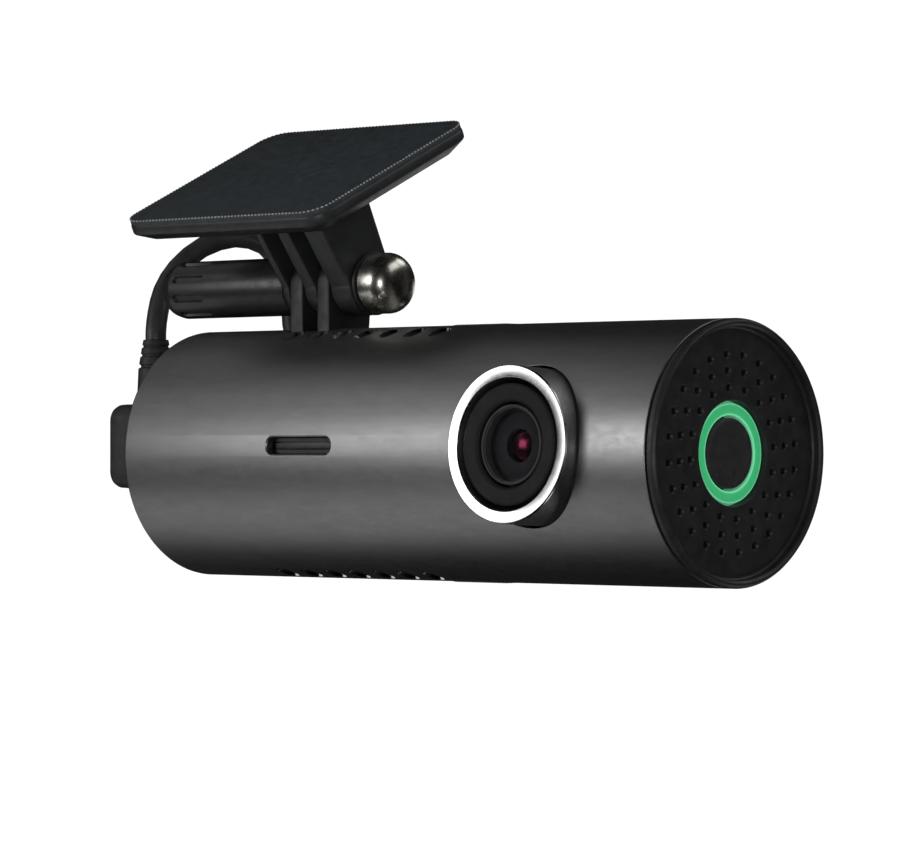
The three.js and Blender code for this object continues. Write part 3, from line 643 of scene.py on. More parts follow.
# Each row's lean from the top towards the lens's side in degrees, and its middle hole's x.
VENT_ROWS = ((19, -54.6), (163.5, -56.3))
LUG_LEAVES = ((-70.2, -68.0), (-65.4, -63.3))  # each leaf's span in x
LUG_FOOT = (-3.0, 4.2)  # the leaves' foot, its span in y
LUG_SCREWS = (-72.4, -60.8)  # each screw's x


def surface_cutter(outline, layers, turn=0.0, x=0.0, z=0.0):
    """A cutter that enters the tube's wall from -Y, turned about X by turn degrees.

    outline(margin) gives (x, z) points, and layers lists (radius, margin) from inside to outside.
    """
    rings = [
        [(x + p[0], -math.sqrt(max(0.0, r * r - (z + p[1]) ** 2)), z + p[1]) for p in outline(margin)]
        for r, margin in layers
    ]
    return moved(skin(rings), spin(turn))


def combined(parts):
    whole = bmesh.new()
    for part in parts:
        mesh = bpy.data.meshes.new("part")
        part.to_mesh(mesh)
        part.free()
        whole.from_mesh(mesh)
        bpy.data.meshes.remove(mesh)
    return whole


def cut_layers(chamfer, depth=4.0):
    """Straight through the wall, then opening by the chamfer at the tube's surface."""
    inside, surface = (HOUSING_R - depth, 0), HOUSING_R + 0.02
    return [inside, (HOUSING_R - chamfer, 0), (surface, chamfer), (HOUSING_R + 3, chamfer)]


def make_casing():
    outer = [
        (INNER_R, -GAP / 2 - 0.15), (INNER_R, -HOUSING_LENGTH + 0.2),
        (INNER_R + 0.2, -HOUSING_LENGTH), (HOUSING_R, -HOUSING_LENGTH, 0.6),
        (HOUSING_R, -GAP / 2, 0.12), (INNER_R + 0.15, -GAP / 2),
    ]
    tube = raw_object("casing", turned(outer, 256, ALONG_X, steps=5))
    tube.data.materials.append(MATERIALS["casing_metal"])
    vents = []

    def vent(margin):
        outline = pill(VENT["length"] / 2 + margin, VENT["width"] / 2 + margin, 8)
        return [Vector((p.y, p.x)) for p in outline]

    for lean, middle in VENT_ROWS:
        for i in range(VENT["count"]):
            x = middle + (i - (VENT["count"] - 1) / 2) * VENT["pitch"]
            vents.append(surface_cutter(vent, cut_layers(VENT["chamfer"]), lean - 90, x=x))
    tools = [
        surface_cutter(
            lambda m: pill(SLOT["width"] / 2 + m, SLOT["height"] / 2 + m), cut_layers(0.2),
            x=SLOT["x"], z=SLOT["z"],
        ),
        surface_cutter(
            lambda m: circle(LENS_HOLE + m, 96), cut_layers(0.08, depth=3.2), -LENS_ROLL, x=LENS_X
        ),
    ]
    lug_middle = (LUG_LEAVES[0][0] + LUG_LEAVES[1][1]) / 2
    lug_half = (LUG_LEAVES[1][1] - LUG_LEAVES[0][0]) / 2 + GAP
    foot_middle = (LUG_FOOT[0] + LUG_FOOT[1]) / 2
    foot_half = (LUG_FOOT[1] - LUG_FOOT[0]) / 2 + GAP

    def lug_hole(margin):
        u, v = lug_half + margin, foot_half + margin
        return [p + Vector((0, foot_middle)) for p in rect(u, v, 0.6)]

    milled = metal("milled_aluminium", grey(0.85), grey(0.95), 0.14, grain=0.1, relief=0.0005)
    carve(tube, combined(vents), cut_face=milled)
    carve(tube, combined(tools))
    carve(tube, surface_cutter(lug_hole, cut_layers(0.12), -90, x=lug_middle))
    piece(tube, "casing", "casing_metal", "camera", "casing_tube", sharp=28)


make_casing()

HOLE_RINGS = ((11.63, 24), (9.68, 20), (7.69, 16))  # (radius, number of holes)
HOLE_START = math.radians(5.4)
# One hole as (radius, x) points.
HOLE_CUTTER = ((0, -3), (0.4, -3), (0.4, -0.2), (0.62, 0.03), (0.62, 0.6), (0, 0.6))


def make_grille():
    profile = [
        (LED_RING["outer"] + GAP, -1.2, 0.1), (LED_RING["outer"] + GAP, 0.0, 0.12),
        (14.45, 0.0, 0.2), (14.8, 0.35, 0.3), (14.86, 1.0, 0.2), (15.3, 1.45, 0.28),
        (15.8, 0.85, 0.5), (15.8, 0.15, 0.1), (14.3, 0.15), (14.3, -4.5), (13.2, -4.5),
        (13.2, -1.4), (6.2, -1.4),
    ]
    cap = raw_object("grille", turned(profile, 192, ALONG_X))
    tools = []
    for radius, count in HOLE_RINGS:
        for i in range(count):
            turn = HOLE_START + 2 * math.pi * i / count
            spot = at(0, -radius * math.sin(turn), radius * math.cos(turn))
            tools.append(moved(lathe(HOLE_CUTTER, 16), ALONG_X, spot))
    carve(cap, combined(tools))
    piece(cap, "grille", "black_plastic", "camera", "grille_cap", sharp=30)


make_grille()

ring_profile = [
    (LED_RING["inner"], -0.5, 0.12), (LED_RING["outer"], -0.5, 0.12), (LED_RING["outer"], -1.75),
    (7.0, -1.75), (7.0, -2.6), (LED_RING["inner"], -2.6),
]
piece(turned(ring_profile, 128, ALONG_X), "light_ring", "green_light", "camera", "led_light_ring")

button_profile = [
    (0, -0.52), (1.4, -0.51), (2.7, -0.45), (3.55, -0.36), (3.85, -0.34), (4.15, -0.5, 0.12),
    (4.15, -3.0), (5.0, -3.0), (5.0, -3.8), (1.0, -3.8), (1.0, -4.6), (0, -4.6),
]
piece(
    turned(button_profile, 96, ALONG_X, closed=False),
    "button", "black_plastic", "button", "function_button",
    material=plastic("button_plastic", grey(0.008), grey(0.013), 0.55, grain=0.22, relief=0.004),
)

# ---------------------------------------------------------------- lens
# Local +Z is the lens's outward axis, and local Y is up.
LENS = at(LENS_X, 0, 0) @ spin(90 - LENS_ROLL)
BEZEL = {"outer": 9.3, "face": 7.9, "dish": 0.13, "bore": 7.5, "front": HOUSING_R + 2, "back": 10.8}
front = BEZEL["front"]
bezel_profile = [
    (BEZEL["bore"], BEZEL["back"]), (BEZEL["outer"] - 0.1, BEZEL["back"]),
    (BEZEL["outer"] - 0.1, front - 0.35), (BEZEL["outer"], front - 0.3),
    (BEZEL["outer"], front, 0.15), (BEZEL["face"], front - BEZEL["dish"], 0.12),
    (BEZEL["bore"], front - 1.0, 0.1),
]
piece(
    turned(bezel_profile, 160, LENS, steps=6), "bezel", "chrome_trim", "camera", "lens_bezel",
    material=metal("satin_chrome", grey(0.62), grey(0.72), 0.24, grain=1.2, relief=0.0003),
)
skirt_profile = [
    (BEZEL["outer"] - 0.1, BEZEL["back"]), (BEZEL["outer"], BEZEL["back"]),
    (BEZEL["outer"], front - 0.34, 0.04), (BEZEL["outer"] - 0.1, front - 0.34),
]
piece(
    turned(skirt_profile, 160, LENS), "bezel_skirt", "chrome_trim", "camera",
    material=metal("satin_skirt", grey(0.38), grey(0.46), 0.52),
)

disc_profile = [
    (5.05, 15.2), (7.2, 15.2), (7.2, 17.3, 0.1), (6.95, 17.48, 0.1), (5.5, 17.36, 0.1),
    (5.3, 17.3, 0.06), (5.05, 17.0, 0.05),
]
piece(turned(disc_profile, 128, LENS), "lens_face", "gloss_black", "camera", "lens_surround")

# The barrel's nose stands in the surround's hole, with one fine ridge in its bore.
barrel_profile = [
    (4.4, 3), (6.0, 3), (6.0, 14.9, 0.1), (4.75, 14.9), (4.75, 16.9, 0.12), (4.45, 16.9, 0.05),
    (4.42, 16.7), (4.3, 16.65), (4.3, 16.5), (4.42, 16.45), (4.4, 16.2),
]
piece(
    turned(barrel_profile, 96, LENS), "barrel", "lens_black_metal", "camera", "lens_barrel",
    material=plastic(
        "matt_barrel_black", grey(0.016), grey(0.022), 0.5, relief=0.001, Specular_IOR_Level=0.2
    ),
)


def lens_arc(radius, edge, bulge, steps=10):
    return [(radius * k / steps, edge + bulge * (1 - (k / steps) ** 2)) for k in range(steps + 1)]


def lens_body(radius, back, back_bulge, face, face_bulge):
    return lathe(lens_arc(radius, back, -back_bulge) + lens_arc(radius, face, face_bulge)[::-1], 72)


piece(
    moved(lens_body(4.05, 15.7, 0, 15.85, 0.65), LENS),
    "front_glass", "lens_glass", "camera", "lens_front_glass",
)

# The stop: a shallow black dish under the front glass, open at the pupil.
PUPIL_R = 2.0
stop_profile = [
    (4.3, 14.9), (4.3, 15.6), (3.7, 15.58, 0.05), (3.3, 15.5, 0.05), (2.6, 15.46, 0.05),
    (PUPIL_R, 15.4, 0.04), (PUPIL_R, 15.1), (3.9, 14.9),
]
piece(
    turned(stop_profile, 96, LENS),
    "lens_stop", "lens_black_metal", "camera",
    material=plastic("stop_black", grey(0.014), grey(0.019), 0.6, relief=0.001, Specular_IOR_Level=0.1),
)
piece(
    moved(lens_body(3.9, 7.45, 0.1, 8.6, 0.4), LENS),
    "inner_glass", "lens_glass", "camera", "lens_middle_glass",
    material=glass_material("magenta_coated_glass", (0.05, 0.01, 0.02), (1.0, 0.1, 0.25), rough=0.12),
)
piece(
    moved(lens_body(PUPIL_R - 0.05, 14.3, 0.1, 14.75, 0.5), LENS),
    "pupil_glass", "lens_glass", "camera",
    material=glass_material(
        "magenta_pupil_glass", (0.02, 0.01, 0.01), (1.0, 0.12, 0.3), rough=0.2, index=2.4
    ),
)

# ---------------------------------------------------------------- card slot
slot_front = -HOUSING_R + SLOT["depth"]
SLOT_PLAY = 0.07  # between the liner and the opening, on each side
slot_half = (SLOT["width"] / 2 - SLOT_PLAY, SLOT["height"] / 2 - SLOT_PLAY)


def make_slot_trim():
    """The slot's liner with its flange behind the wall and the slit for the card."""
    middle = at(SLOT["x"], 0, SLOT["z"])
    shape = skin([
        [(q.x * share, y, q.y * share) for q in pill(*slot_half)]
        for y, share in ((slot_front + 3, 1), (slot_front + 0.12, 1), (slot_front, 0.97))
    ])
    trim = raw_object("slot_trim", moved(shape, middle))
    low_z, high_z = -0.5 - SLOT["z"], 2.4
    flange = skin([
        [(-7, y, low_z), (7, y, low_z), (7, y, high_z), (-7, y, high_z)]
        for y in (slot_front + 1.4, slot_front + 3)
    ])
    carve(trim, moved(flange, middle), "UNION")
    slit = skin([
        [(p.x, y, p.y) for p in rect(u, v, 0.25)]
        for y, u, v in (
            (slot_front + 4, 5.5, 0.46), (slot_front + 0.1, 5.5, 0.46),
            (slot_front - 0.05, 5.5, 0.5), (slot_front - 1, 5.5, 0.5),
        )
    ])
    carve(trim, moved(slit, middle))
    piece(trim, "slot_trim", "black_plastic", "camera", "card_slot_trim")


make_slot_trim()


def make_card():
    """The memory card, with a finger ridge at its outer end and contacts at its inner end."""
    half, length, thick = 5.45, 15.0, 0.8
    outline = rounded([
        (-half, 0, 0.5), (half, 0, 0.5), (half, length - 6.2), (half - 0.5, length - 5.8),
        (half - 0.5, length - 4.2), (half, length - 3.8), (half, length - 1.4, 0.3),
        (half - 1.4, length, 0.3), (-half, length, 0.5),
    ], 0.1)
    card = round_edges(prism(outline, -thick / 2, thick / 2), 0.08, segments=2, angle=60)
    ridge = slab(-4.2, 4.2, 0.05, 0.75, thick / 2 - 0.1, thick / 2 + 0.18, 0.3)
    body = combined([card, round_edges(ridge, 0.06, segments=2, angle=60)])
    spot = at(SLOT["x"], slot_front + 0.1, SLOT["z"])
    piece(moved(body, spot), "memory_card_body", "card_black", "card", "memory_card")
    contacts = []
    for k in range(8):
        x = -4.6 + 1.08 * k
        low, high = -thick / 2 - 0.03, -thick / 2 + 0.02
        strip = slab(x - 0.36, x + 0.36, length - 3.4, length - 0.6, low, high, 0.15)
        contacts.append(round_edges(strip, 0.01, segments=1, angle=60))
    piece(moved(combined(contacts), spot), "card_contacts", "insert_brass", "card")


make_card()

# ---------------------------------------------------------------- power end
# Cutters as (radius, depth from the housing's end) points.
SCREW_SEAT = ((0, -1), (2.25, -1), (2.25, 0.2), (2.1, 0.4), (2.1, 1.3), (1.3, 1.3), (1.3, 3), (0, 3))
RESET_HOLE = ((0, -1), (0.75, -1), (0.75, 0.15), (0.6, 0.35), (0.6, 3), (0, 3))
SCREW_Y, SCREW_Z = (-9.4, 9.4), -7.4


def make_end_cap():
    """The recessed end plate with its socket opening, screw seats and reset hole."""
    back = -HOUSING_LENGTH
    profile = [
        (0, back + 0.15), (12.2, back + 0.15, 0.2), (12.6, back + 0.45, 0.2),
        (13.1, back + 0.45, 0.2), (13.4, back + 0.15, 0.2), (14.3, back + 0.15, 0.35),
        (14.3, back + 4.5), (13.1, back + 4.5), (13.1, back + 2.3), (0, back + 2.3),
    ]
    cap = raw_object("end_cap", turned(profile, 160, ALONG_X, closed=False))
    port = [Vector((p.x, p.y + 1.2)) for p in rect(5, 2.1, 1.95, steps=6)]
    flare = [Vector((p.x * 1.05, (p.y - 1.2) * 1.12 + 1.2)) for p in port]
    tools = [moved(skin([
        level(ring, x)
        for ring, x in ((flare, back - 1), (flare, back + 0.12), (port, back + 0.4), (port, back + 3))
    ]), ALONG_X)]
    for y in SCREW_Y:
        seat = lathe([(r, back + a) for r, a in SCREW_SEAT], 40)
        tools.append(moved(seat, ALONG_X, at(0, y, SCREW_Z)))
    reset = lathe([(r, back + a) for r, a in RESET_HOLE], 20)
    tools.append(moved(reset, ALONG_X, at(0, 0, 7.5)))
    carve(cap, combined(tools))
    piece(cap, "power_end_plate", "black_plastic", "camera", "power_end_cap", sharp=30)


make_end_cap()


def make_screw(name, node, body_length, head_r, head_depth, shank_r, placed):
    """A pan-head cross-slot screw, threaded with plain rings. Its head's face is at local z = 0."""
    thread = []
    pitch = 0.5
    for k in range(int((body_length - head_depth - shank_r) / pitch)):
        a = head_depth + k * pitch
        thread += [(shank_r, a + 0.2), (shank_r - 0.16, a + 0.45)]
    profile = [
        (0, 0.04), (head_r * 0.75, 0.08), (head_r, 0.3, 0.15), (head_r, head_depth, 0.05),
        (shank_r, head_depth), *thread, (shank_r * 0.35, body_length - 0.1), (0, body_length),
    ]
    screw = raw_object(name, turned(profile, 40, placed, closed=False))
    arm = head_r * 0.62
    for turn in (0, 90):
        bar = skin([
            [(-u, -v, z), (u, -v, z), (u, v, z), (-u, v, z)]
            for u, v, z in ((arm, 0.24, -1), (arm, 0.24, 0.1), (arm * 0.45, 0.12, head_depth * 0.8))
        ])
        carve(screw, moved(bar, spin(turn + 12, "Z"), placed))
    piece(screw, name, "steel", "camera", node, sharp=30)


for i, y in enumerate(SCREW_Y):
    spot = at(-HOUSING_LENGTH + 0.3, y, SCREW_Z) @ ALONG_X
    make_screw(f"end_screw_{i + 1}", f"end_cap_screw_{i + 1}", 8, 1.8, 0.9, 0.95, spot)
for i, x in enumerate(LUG_SCREWS):
    spot = at(x, 0, 14.25) @ spin(180)
    make_screw(f"hinge_screw_{i + 1}", f"lug_screw_{i + 1}", 4.2, 1.7, 0.55, 0.7, spot)

# ---------------------------------------------------------------- hinge
HINGE_Y, HINGE_Z = 1.0, 21.4
PIVOT_R = 4.0
BOLT_HOLE_R = 1.85
HINGE = at(0, HINGE_Y, HINGE_Z)
SLOPE = 25
ON_SLOPE = HINGE @ spin(SLOPE)  # housing axes turned to the windscreen, from the pivot


def pivot_outline(foot=()):
    """The outline round the pivot's circle and a foot, as (y, z) from the pivot: their convex hull."""
    points = sorted((p[0], p[1]) for p in [*circle(PIVOT_R, 40), *map(Vector, foot)])

    def half(ordered):
        chain = []
        for p in ordered:
            while len(chain) > 1:
                (ax, ay), (bx, by) = chain[-2:]
                if (bx - ax) * (p[1] - ay) - (by - ay) * (p[0] - ax) > 1e-9:  # a left turn stays
                    break
                chain.pop()
            chain.append(p)
        return chain[:-1]

    return half(points) + half(points[::-1])


def pivot_hole():
    hole = lathe([(0, -100), (BOLT_HOLE_R, -100), (BOLT_HOLE_R, -50), (0, -50)], 48)
    return moved(hole, ALONG_X, HINGE)


def make_lug():
    """The camera's two hinge leaves on their screwed foot."""
    front, back = (y - HINGE_Y for y in LUG_FOOT)
    leaves = []
    for x0, x1 in LUG_LEAVES:
        stem = pivot_outline([(front, -4.9), (back, -4.9), (back, 13 - HINGE_Z), (front, 13 - HINGE_Z)])
        leaves.append(moved(round_edges(prism(stem, x0, x1), 0.22, angle=50), ALONG_X, HINGE))
    x0, x1 = LUG_LEAVES[0][0], LUG_LEAVES[1][1]
    neck = slab(*LUG_FOOT, 13.2, 15, x0 + 0.02, x1 - 0.02)
    lug = raw_object("lug", leaves[0])
    carve(lug, leaves[1], "UNION")
    carve(lug, moved(round_edges(neck, 0.2), ALONG_X), "UNION")
    plate = raw_object("foot", slab(-74.4, -59, -6, 6, 11.7, 13.4, 1.0))
    carve(plate, moved(lathe([(0, -80), (14.3, -80), (14.3, -50), (0, -50)], 160), ALONG_X), "INTERSECT")
    shape = bmesh.new()
    shape.from_mesh(plate.data)
    bpy.data.objects.remove(plate)
    shape.transform(TO_FRAME.inverted())
    carve(lug, shape, "UNION")
    holes = [pivot_hole()]
    for x in LUG_SCREWS:
        holes.append(moved(lathe([(0, -4), (1.25, -4), (1.25, 4), (0, 4)], 24), at(x, 0, 12.5)))
    carve(lug, combined(holes))
    piece(lug, "hinge_leaves", "black_plastic", "camera", "hinge_lug", sharp=30)


make_lug()

# ---------------------------------------------------------------- windscreen mount
MOUNT_LEAVES = ((-71.6, -70.5), (-67.7, -65.7), (-63.0, -59.6))  # each leaf's span in x
# From the pivot, t0 and t1 lie along the slope, and the top lies across it.
PLATE = {"x0": -89, "x1": -53.4, "t0": -11.2, "t1": 19.4, "top": 14.3, "thickness": 3.6, "corner": 3.2}
PAD_THICKNESS = 0.8
EDGE_TAPER = 2.4
TAPER_DEPTH = 1.6


def plate_outline(margin, steps=10):
    x0, t0 = PLATE["x0"] + margin, PLATE["t0"] + margin
    x1, t1 = PLATE["x1"] - margin, PLATE["t1"] - margin
    return rounded([(x0, t0), (x1, t0), (x1, t1), (x0, t1)], PLATE["corner"] - margin, steps=steps)


def layered(layers):
    """The plate's outline built up from (margin, height) rings."""
    return skin([level(plate_outline(m), h) for m, h in layers])


def make_bracket():
    under = PLATE["top"] - PLATE["thickness"]
    top = PLATE["top"] - PAD_THICKNESS
    waist = under + TAPER_DEPTH
    plate = layered([
        (EDGE_TAPER + 0.3, under), (EDGE_TAPER + 0.05, under + 0.05), (EDGE_TAPER - 0.2, under + 0.2),
        (0.15, waist - 0.1), (0.03, waist + 0.05), (0, waist + 0.2), (0, top - 0.2), (0.1, top),
    ])
    bracket = raw_object("bracket", moved(plate, ON_SLOPE))
    for x0, x1 in MOUNT_LEAVES:
        disc = round_edges(prism(pivot_outline(), x0, x1), 0.2, angle=50)
        web = prism([(-3, -2.6), (4, 0), (4, under + 0.5), (-5.7, under + 0.5)], x0, x1)
        round_edges(web, 0.2, angle=50)
        carve(bracket, moved(disc, ALONG_X, HINGE), "UNION")
        carve(bracket, moved(web, ALONG_X, ON_SLOPE), "UNION")
    carve(bracket, pivot_hole())
    piece(bracket, "mount_plate", "mount_plastic", "mount", "mount_bracket", sharp=30)


make_bracket()

pad_base, pad_top = PLATE["top"] - PAD_THICKNESS, PLATE["top"]
pad = layered([
    (0.1, pad_base), (0.08, pad_base + 0.08),
    (0.1, pad_top - 0.22), (0.18, pad_top - 0.06), (0.4, pad_top),
])
piece(moved(pad, ON_SLOPE), "foam_pad", "adhesive_foam", "mount", "adhesive_pad")

TOOTH_PITCH = 0.6


def make_teeth():
    """The pinked edge of the pad's liner: a row of fine teeth round the pad's upper edge. Their light
    grey is a painted highlight along the edge.
    """
    outline = plate_outline(0.17, steps=24)
    lengths = [(outline[(i + 1) % len(outline)] - p).length for i, p in enumerate(outline)]
    total = sum(lengths)
    count = round(total / TOOTH_PITCH)
    teeth = []
    i, walked = 0, 0.0
    for k in range(count):
        target = total * k / count
        while walked + lengths[i] < target:
            walked += lengths[i]
            i += 1
        a, b = outline[i], outline[(i + 1) % len(outline)]
        spot = a.lerp(b, (target - walked) / lengths[i])
        heading = math.atan2(b.y - a.y, b.x - a.x)
        tooth = bmesh.new()
        bmesh.ops.create_icosphere(tooth, subdivisions=2, radius=1)
        shape = Matrix.Diagonal((0.2, 0.13, 0.12, 1))
        turn = Matrix.Rotation(heading, 4, "Z")
        teeth.append(moved(tooth, shape, turn, at(spot.x, spot.y, PLATE["top"] - 0.1)))
    piece(
        moved(combined(teeth), ON_SLOPE), "liner_edge_painted_highlight", "adhesive_foam", "mount",
        # The light grey of the teeth is a painted highlight along the pad's edge, not the liner's own
        # tone.
        material=plastic("liner_teeth_painted_highlight", grey(0.1), grey(0.18), 0.5, relief=0.002),
    )


make_teeth()

# ---------------------------------------------------------------- clamp bolt and knob
BOLT_R, BOLT_END = 1.5, -90.8
BOLT_HEAD_R, BOLT_DOME, BOLT_SHOULDER = 3.85, 2.6, 1.8
head_x = MOUNT_LEAVES[2][1] + 1.1
thread = []
for k in range(28):  # plain rings at a pitch of 0.5 mm
    a = BOLT_END + 0.6 + k * 0.5
    thread += [(BOLT_R, a + 0.05), (BOLT_R, a + 0.15), (BOLT_R - 0.24, a + 0.36)]
bolt_profile = [
    (0, BOLT_END), (BOLT_R - 0.3, BOLT_END), *thread, (BOLT_R, -76), (BOLT_R, head_x),
    (BOLT_HEAD_R, head_x, 0.05),
]
for k in range(21):
    turn = math.radians(90 * k / 20)
    radius = BOLT_HEAD_R * math.cos(turn) ** 0.75 if k < 20 else 0
    bolt_profile.append((radius, head_x + BOLT_SHOULDER + BOLT_DOME * math.sin(turn)))
piece(
    turned(bolt_profile, 96, ALONG_X, HINGE, closed=False),
    "dome_bolt", "bolt_metal", "mount", "clamp_bolt", sharp=40,
)
washer_x = MOUNT_LEAVES[2][1] + GAP
washer_profile = [
    (1.8, washer_x, 0.08), (4.0, washer_x, 0.12),
    (4.0, washer_x + 0.5, 0.12), (1.8, washer_x + 0.5, 0.08),
]
piece(turned(washer_profile, 96, ALONG_X, HINGE), "washer", "black_plastic", "mount", "bolt_washer")

KNOB = {"left": -95, "right": -72, "radius": 3.75, "bore": 2.9}
GRIP_COUNT, GRIP_START = 9, 80  # the grip's grooves and the first one's turn in degrees
# Each groove's floor, walls and lip, as (height over the knob's radius, margin).
GRIP_LAYERS = ((-0.38, -0.06), (-0.3, 0.02), (-0.08, 0.08), (0.06, 0.22), (1, 0.22))


def make_knob():
    x0 = KNOB["left"]
    profile = [
        (0, x0), (2.0, x0, 0.6), (3.35, x0 + 0.5, 0.8), (KNOB["radius"], x0 + 1.9, 1.0),
        (KNOB["radius"], KNOB["right"], 0.15), (KNOB["bore"], KNOB["right"], 0.1),
        (KNOB["bore"], x0 + 4), (0, x0 + 2.4),
    ]
    knob = raw_object("knob", turned(profile, 160, ALONG_X, HINGE, closed=False))
    tools = []
    for i in range(GRIP_COUNT):
        rings = [
            [(p.x + x0 + 5.4, KNOB["radius"] + over, p.y) for p in pill(2.7 + margin, 0.4 + margin, 8)]
            for over, margin in GRIP_LAYERS
        ]
        tools.append(moved(skin(rings), spin(GRIP_START + i * 360 / GRIP_COUNT), HINGE))
    carve(knob, combined(tools))
    piece(knob, "grip_knob", "black_plastic", "knob", "clamp_knob", sharp=30,
          material=plastic("knob_plastic", grey(0.008), grey(0.012), 0.34, grain=0.3, relief=0.003))


make_knob()

# ---------------------------------------------------------------- plugs and tie
PLUG = {"x0": -101.9, "x1": -HOUSING_LENGTH - GAP, "half_width": 5.5, "z0": -4.6, "z1": 6.45}


def make_plug():
    """The right-angle moulding: crowned sides, and a shallow finger hollow on each side."""
    x0, x1, middle = PLUG["x0"], PLUG["x1"], (PLUG["z0"] + PLUG["z1"]) / 2
    wide, half = PLUG["half_width"], (PLUG["z1"] - PLUG["z0"]) / 2
    rings = [
        [(p.x, p.y + middle, x) for p in rect(wide - inset, half - inset * 0.8, 2.0, steps=8)]
        for x, inset in (
            (x0, 1.1), (x0 + 0.12, 0.62), (x0 + 0.42, 0.24), (x0 + 0.95, 0.05), (x0 + 2.0, 0.0),
            (-96.0, 0.12), (-93.0, 0.3), (-90.5, 0.14),
            (x1 - 1.0, 0.0), (x1 - 0.4, 0.12), (x1 - 0.1, 0.4), (x1, 0.8),
        )
    ]
    piece(moved(skin(rings), ALONG_X), "power_plug_body", "plug_rubber", "camera",
          "power_plug_overmould", sharp=60)


make_plug()


def relief_sleeve(length, wide, narrow, collar):
    """A tapered sleeve with flexing grooves, from (0, 0) up to its narrow end."""
    profile = [(0, 0), (wide, 0, 0.15), (wide, collar, 0.15)]
    grooves = 3
    for k in range(grooves + 1):
        t0, t1 = k / (grooves + 1), (k + 0.62) / (grooves + 1)
        for t, cut in ((t0, 0.34), (t0 + 0.02, 0.0), (t1, 0.0), (t1 + 0.02, 0.34)):
            radius = wide - 0.25 + (narrow - wide + 0.25) * t
            profile.append((max(radius - cut, 1.42), collar + (length - collar - 0.35) * t, 0.06))
    profile += [(narrow, length - 0.3, 0.1), (CORD_D / 2 + 0.06, length, 0.05), (0, length)]
    return rounded(profile, closed=False, steps=3)


base_z = PLUG["z1"] + GAP
upper = [
    (0, base_z), (2.5, base_z, 0.2), (2.32, 11.2, 0.12), (1.98, 11.35, 0.06), (1.98, 11.6, 0.06),
    (2.22, 11.75, 0.12), (2.08, 12.7, 0.05), (1.84, 12.8, 0.05), (1.82, 13.05, 0.05),
    (2.0, 13.15, 0.05), (1.88, 13.9, 0.05), (1.66, 14.0, 0.05), (1.65, 14.2, 0.05),
    (1.8, 14.3, 0.05), (1.66, RELIEF_TOP, 0.12), (0, RELIEF_TOP),
]
piece(
    turned(upper, 64, at(RELIEF_X, 0, 0), closed=False),
    "plug_relief", "plug_rubber", "camera", "power_cord_strain_relief",
)
far_axis = at(0, FAR_PLUG["y"], FAR_PLUG["z"])
far_profile = relief_sleeve(FAR_PLUG["length"][0], 2.7, 1.7, 2.2)
far_sleeve = lathe([(p.x, -p.y) for p in far_profile], 64)
piece(
    moved(far_sleeve, ALONG_X, at(FAR_PLUG["x"][0] + FAR_PLUG["length"][0], 0, 0), far_axis),
    "usb_relief", "plug_rubber", "camera", "usb_strain_relief",
)


def make_usb_plug():
    x0, x1 = FAR_PLUG["x"][1], FAR_PLUG["x"][1] + FAR_PLUG["length"][1]
    rings = [level(rect(3.8 - inset, 6.3 - inset, 1.9, steps=8), x) for x, inset in (
        (x0, 0.9), (x0 + 0.15, 0.5), (x0 + 0.6, 0.15), (x0 + 1.6, 0.0), (x0 + 9, 0.0), (x0 + 13, 0.22),
        (x0 + 17, 0.22), (x0 + 21, 0.0), (x1 - 0.8, 0.0), (x1 - 0.2, 0.2), (x1, 0.55),
    )]
    mould = raw_object("usb_body", moved(skin(rings), ALONG_X, far_axis))
    ribs = []
    for k in range(6):  # the grooves between the grip ribs, in the broad face on +Y
        x = x0 + 11.6 + k * 1.4
        ribs.append(moved(slab(x - 0.3, x + 0.3, -3.8, 3.8, 3.32, 5, 0.28), spin(-90), far_axis))
    carve(mould, combined(ribs))
    piece(mould, "usb_body", "plug_rubber", "camera", "usb_plug_overmould", sharp=40)

    s0, s1 = FAR_PLUG["x"][2], FAR_PLUG["x"][2] + FAR_PLUG["length"][2]
    outer = rect(2.25, 6, 0.5, steps=6)
    inner = rect(1.95, 5.7, 0.3, steps=6)
    sleeve = round_edges(prism(outer, s0, s1), 0.08, angle=60)
    shell = raw_object("usb_shell", moved(sleeve, ALONG_X, far_axis))
    cuts = [moved(prism(inner, s0 + 1, s1 + 1), ALONG_X, far_axis)]
    for side in (-1, 1):  # the spring windows, two on each broad face
        for z in (-3.1, 3.1):
            window = slab(s0 + 11.5, s0 + 13.7, z - 1.1, z + 1.1, 1.7, 2.6)
            cuts.append(moved(window, spin(-90 * side), far_axis))
    carve(shell, combined(cuts))
    piece(shell, "usb_shell", "steel", "camera", "usb_plug_shell", sharp=40)

    tongue = round_edges(slab(-1.6, 0.2, -5.2, 5.2, s0 + 1.3, s1 - 0.6), 0.12)
    piece(moved(tongue, ALONG_X, far_axis), "usb_tongue", "black_plastic", "camera", "usb_plug_tongue",
          material=plastic("ivory_nylon", (0.6, 0.58, 0.52), (0.68, 0.66, 0.6), 0.4))
    pins = combined([
        round_edges(slab(0.17, 0.3, z - 0.5, z + 0.5, s0 + 7, s1 - 1.4), 0.03)
        for z in (-3.5, -1.1, 1.1, 3.5)
    ])
    piece(moved(pins, ALONG_X, far_axis), "usb_contacts", "insert_brass", "camera")


make_usb_plug()

TIE = {"x0": -62.5, "x1": -53.5, "thickness": 1.0}


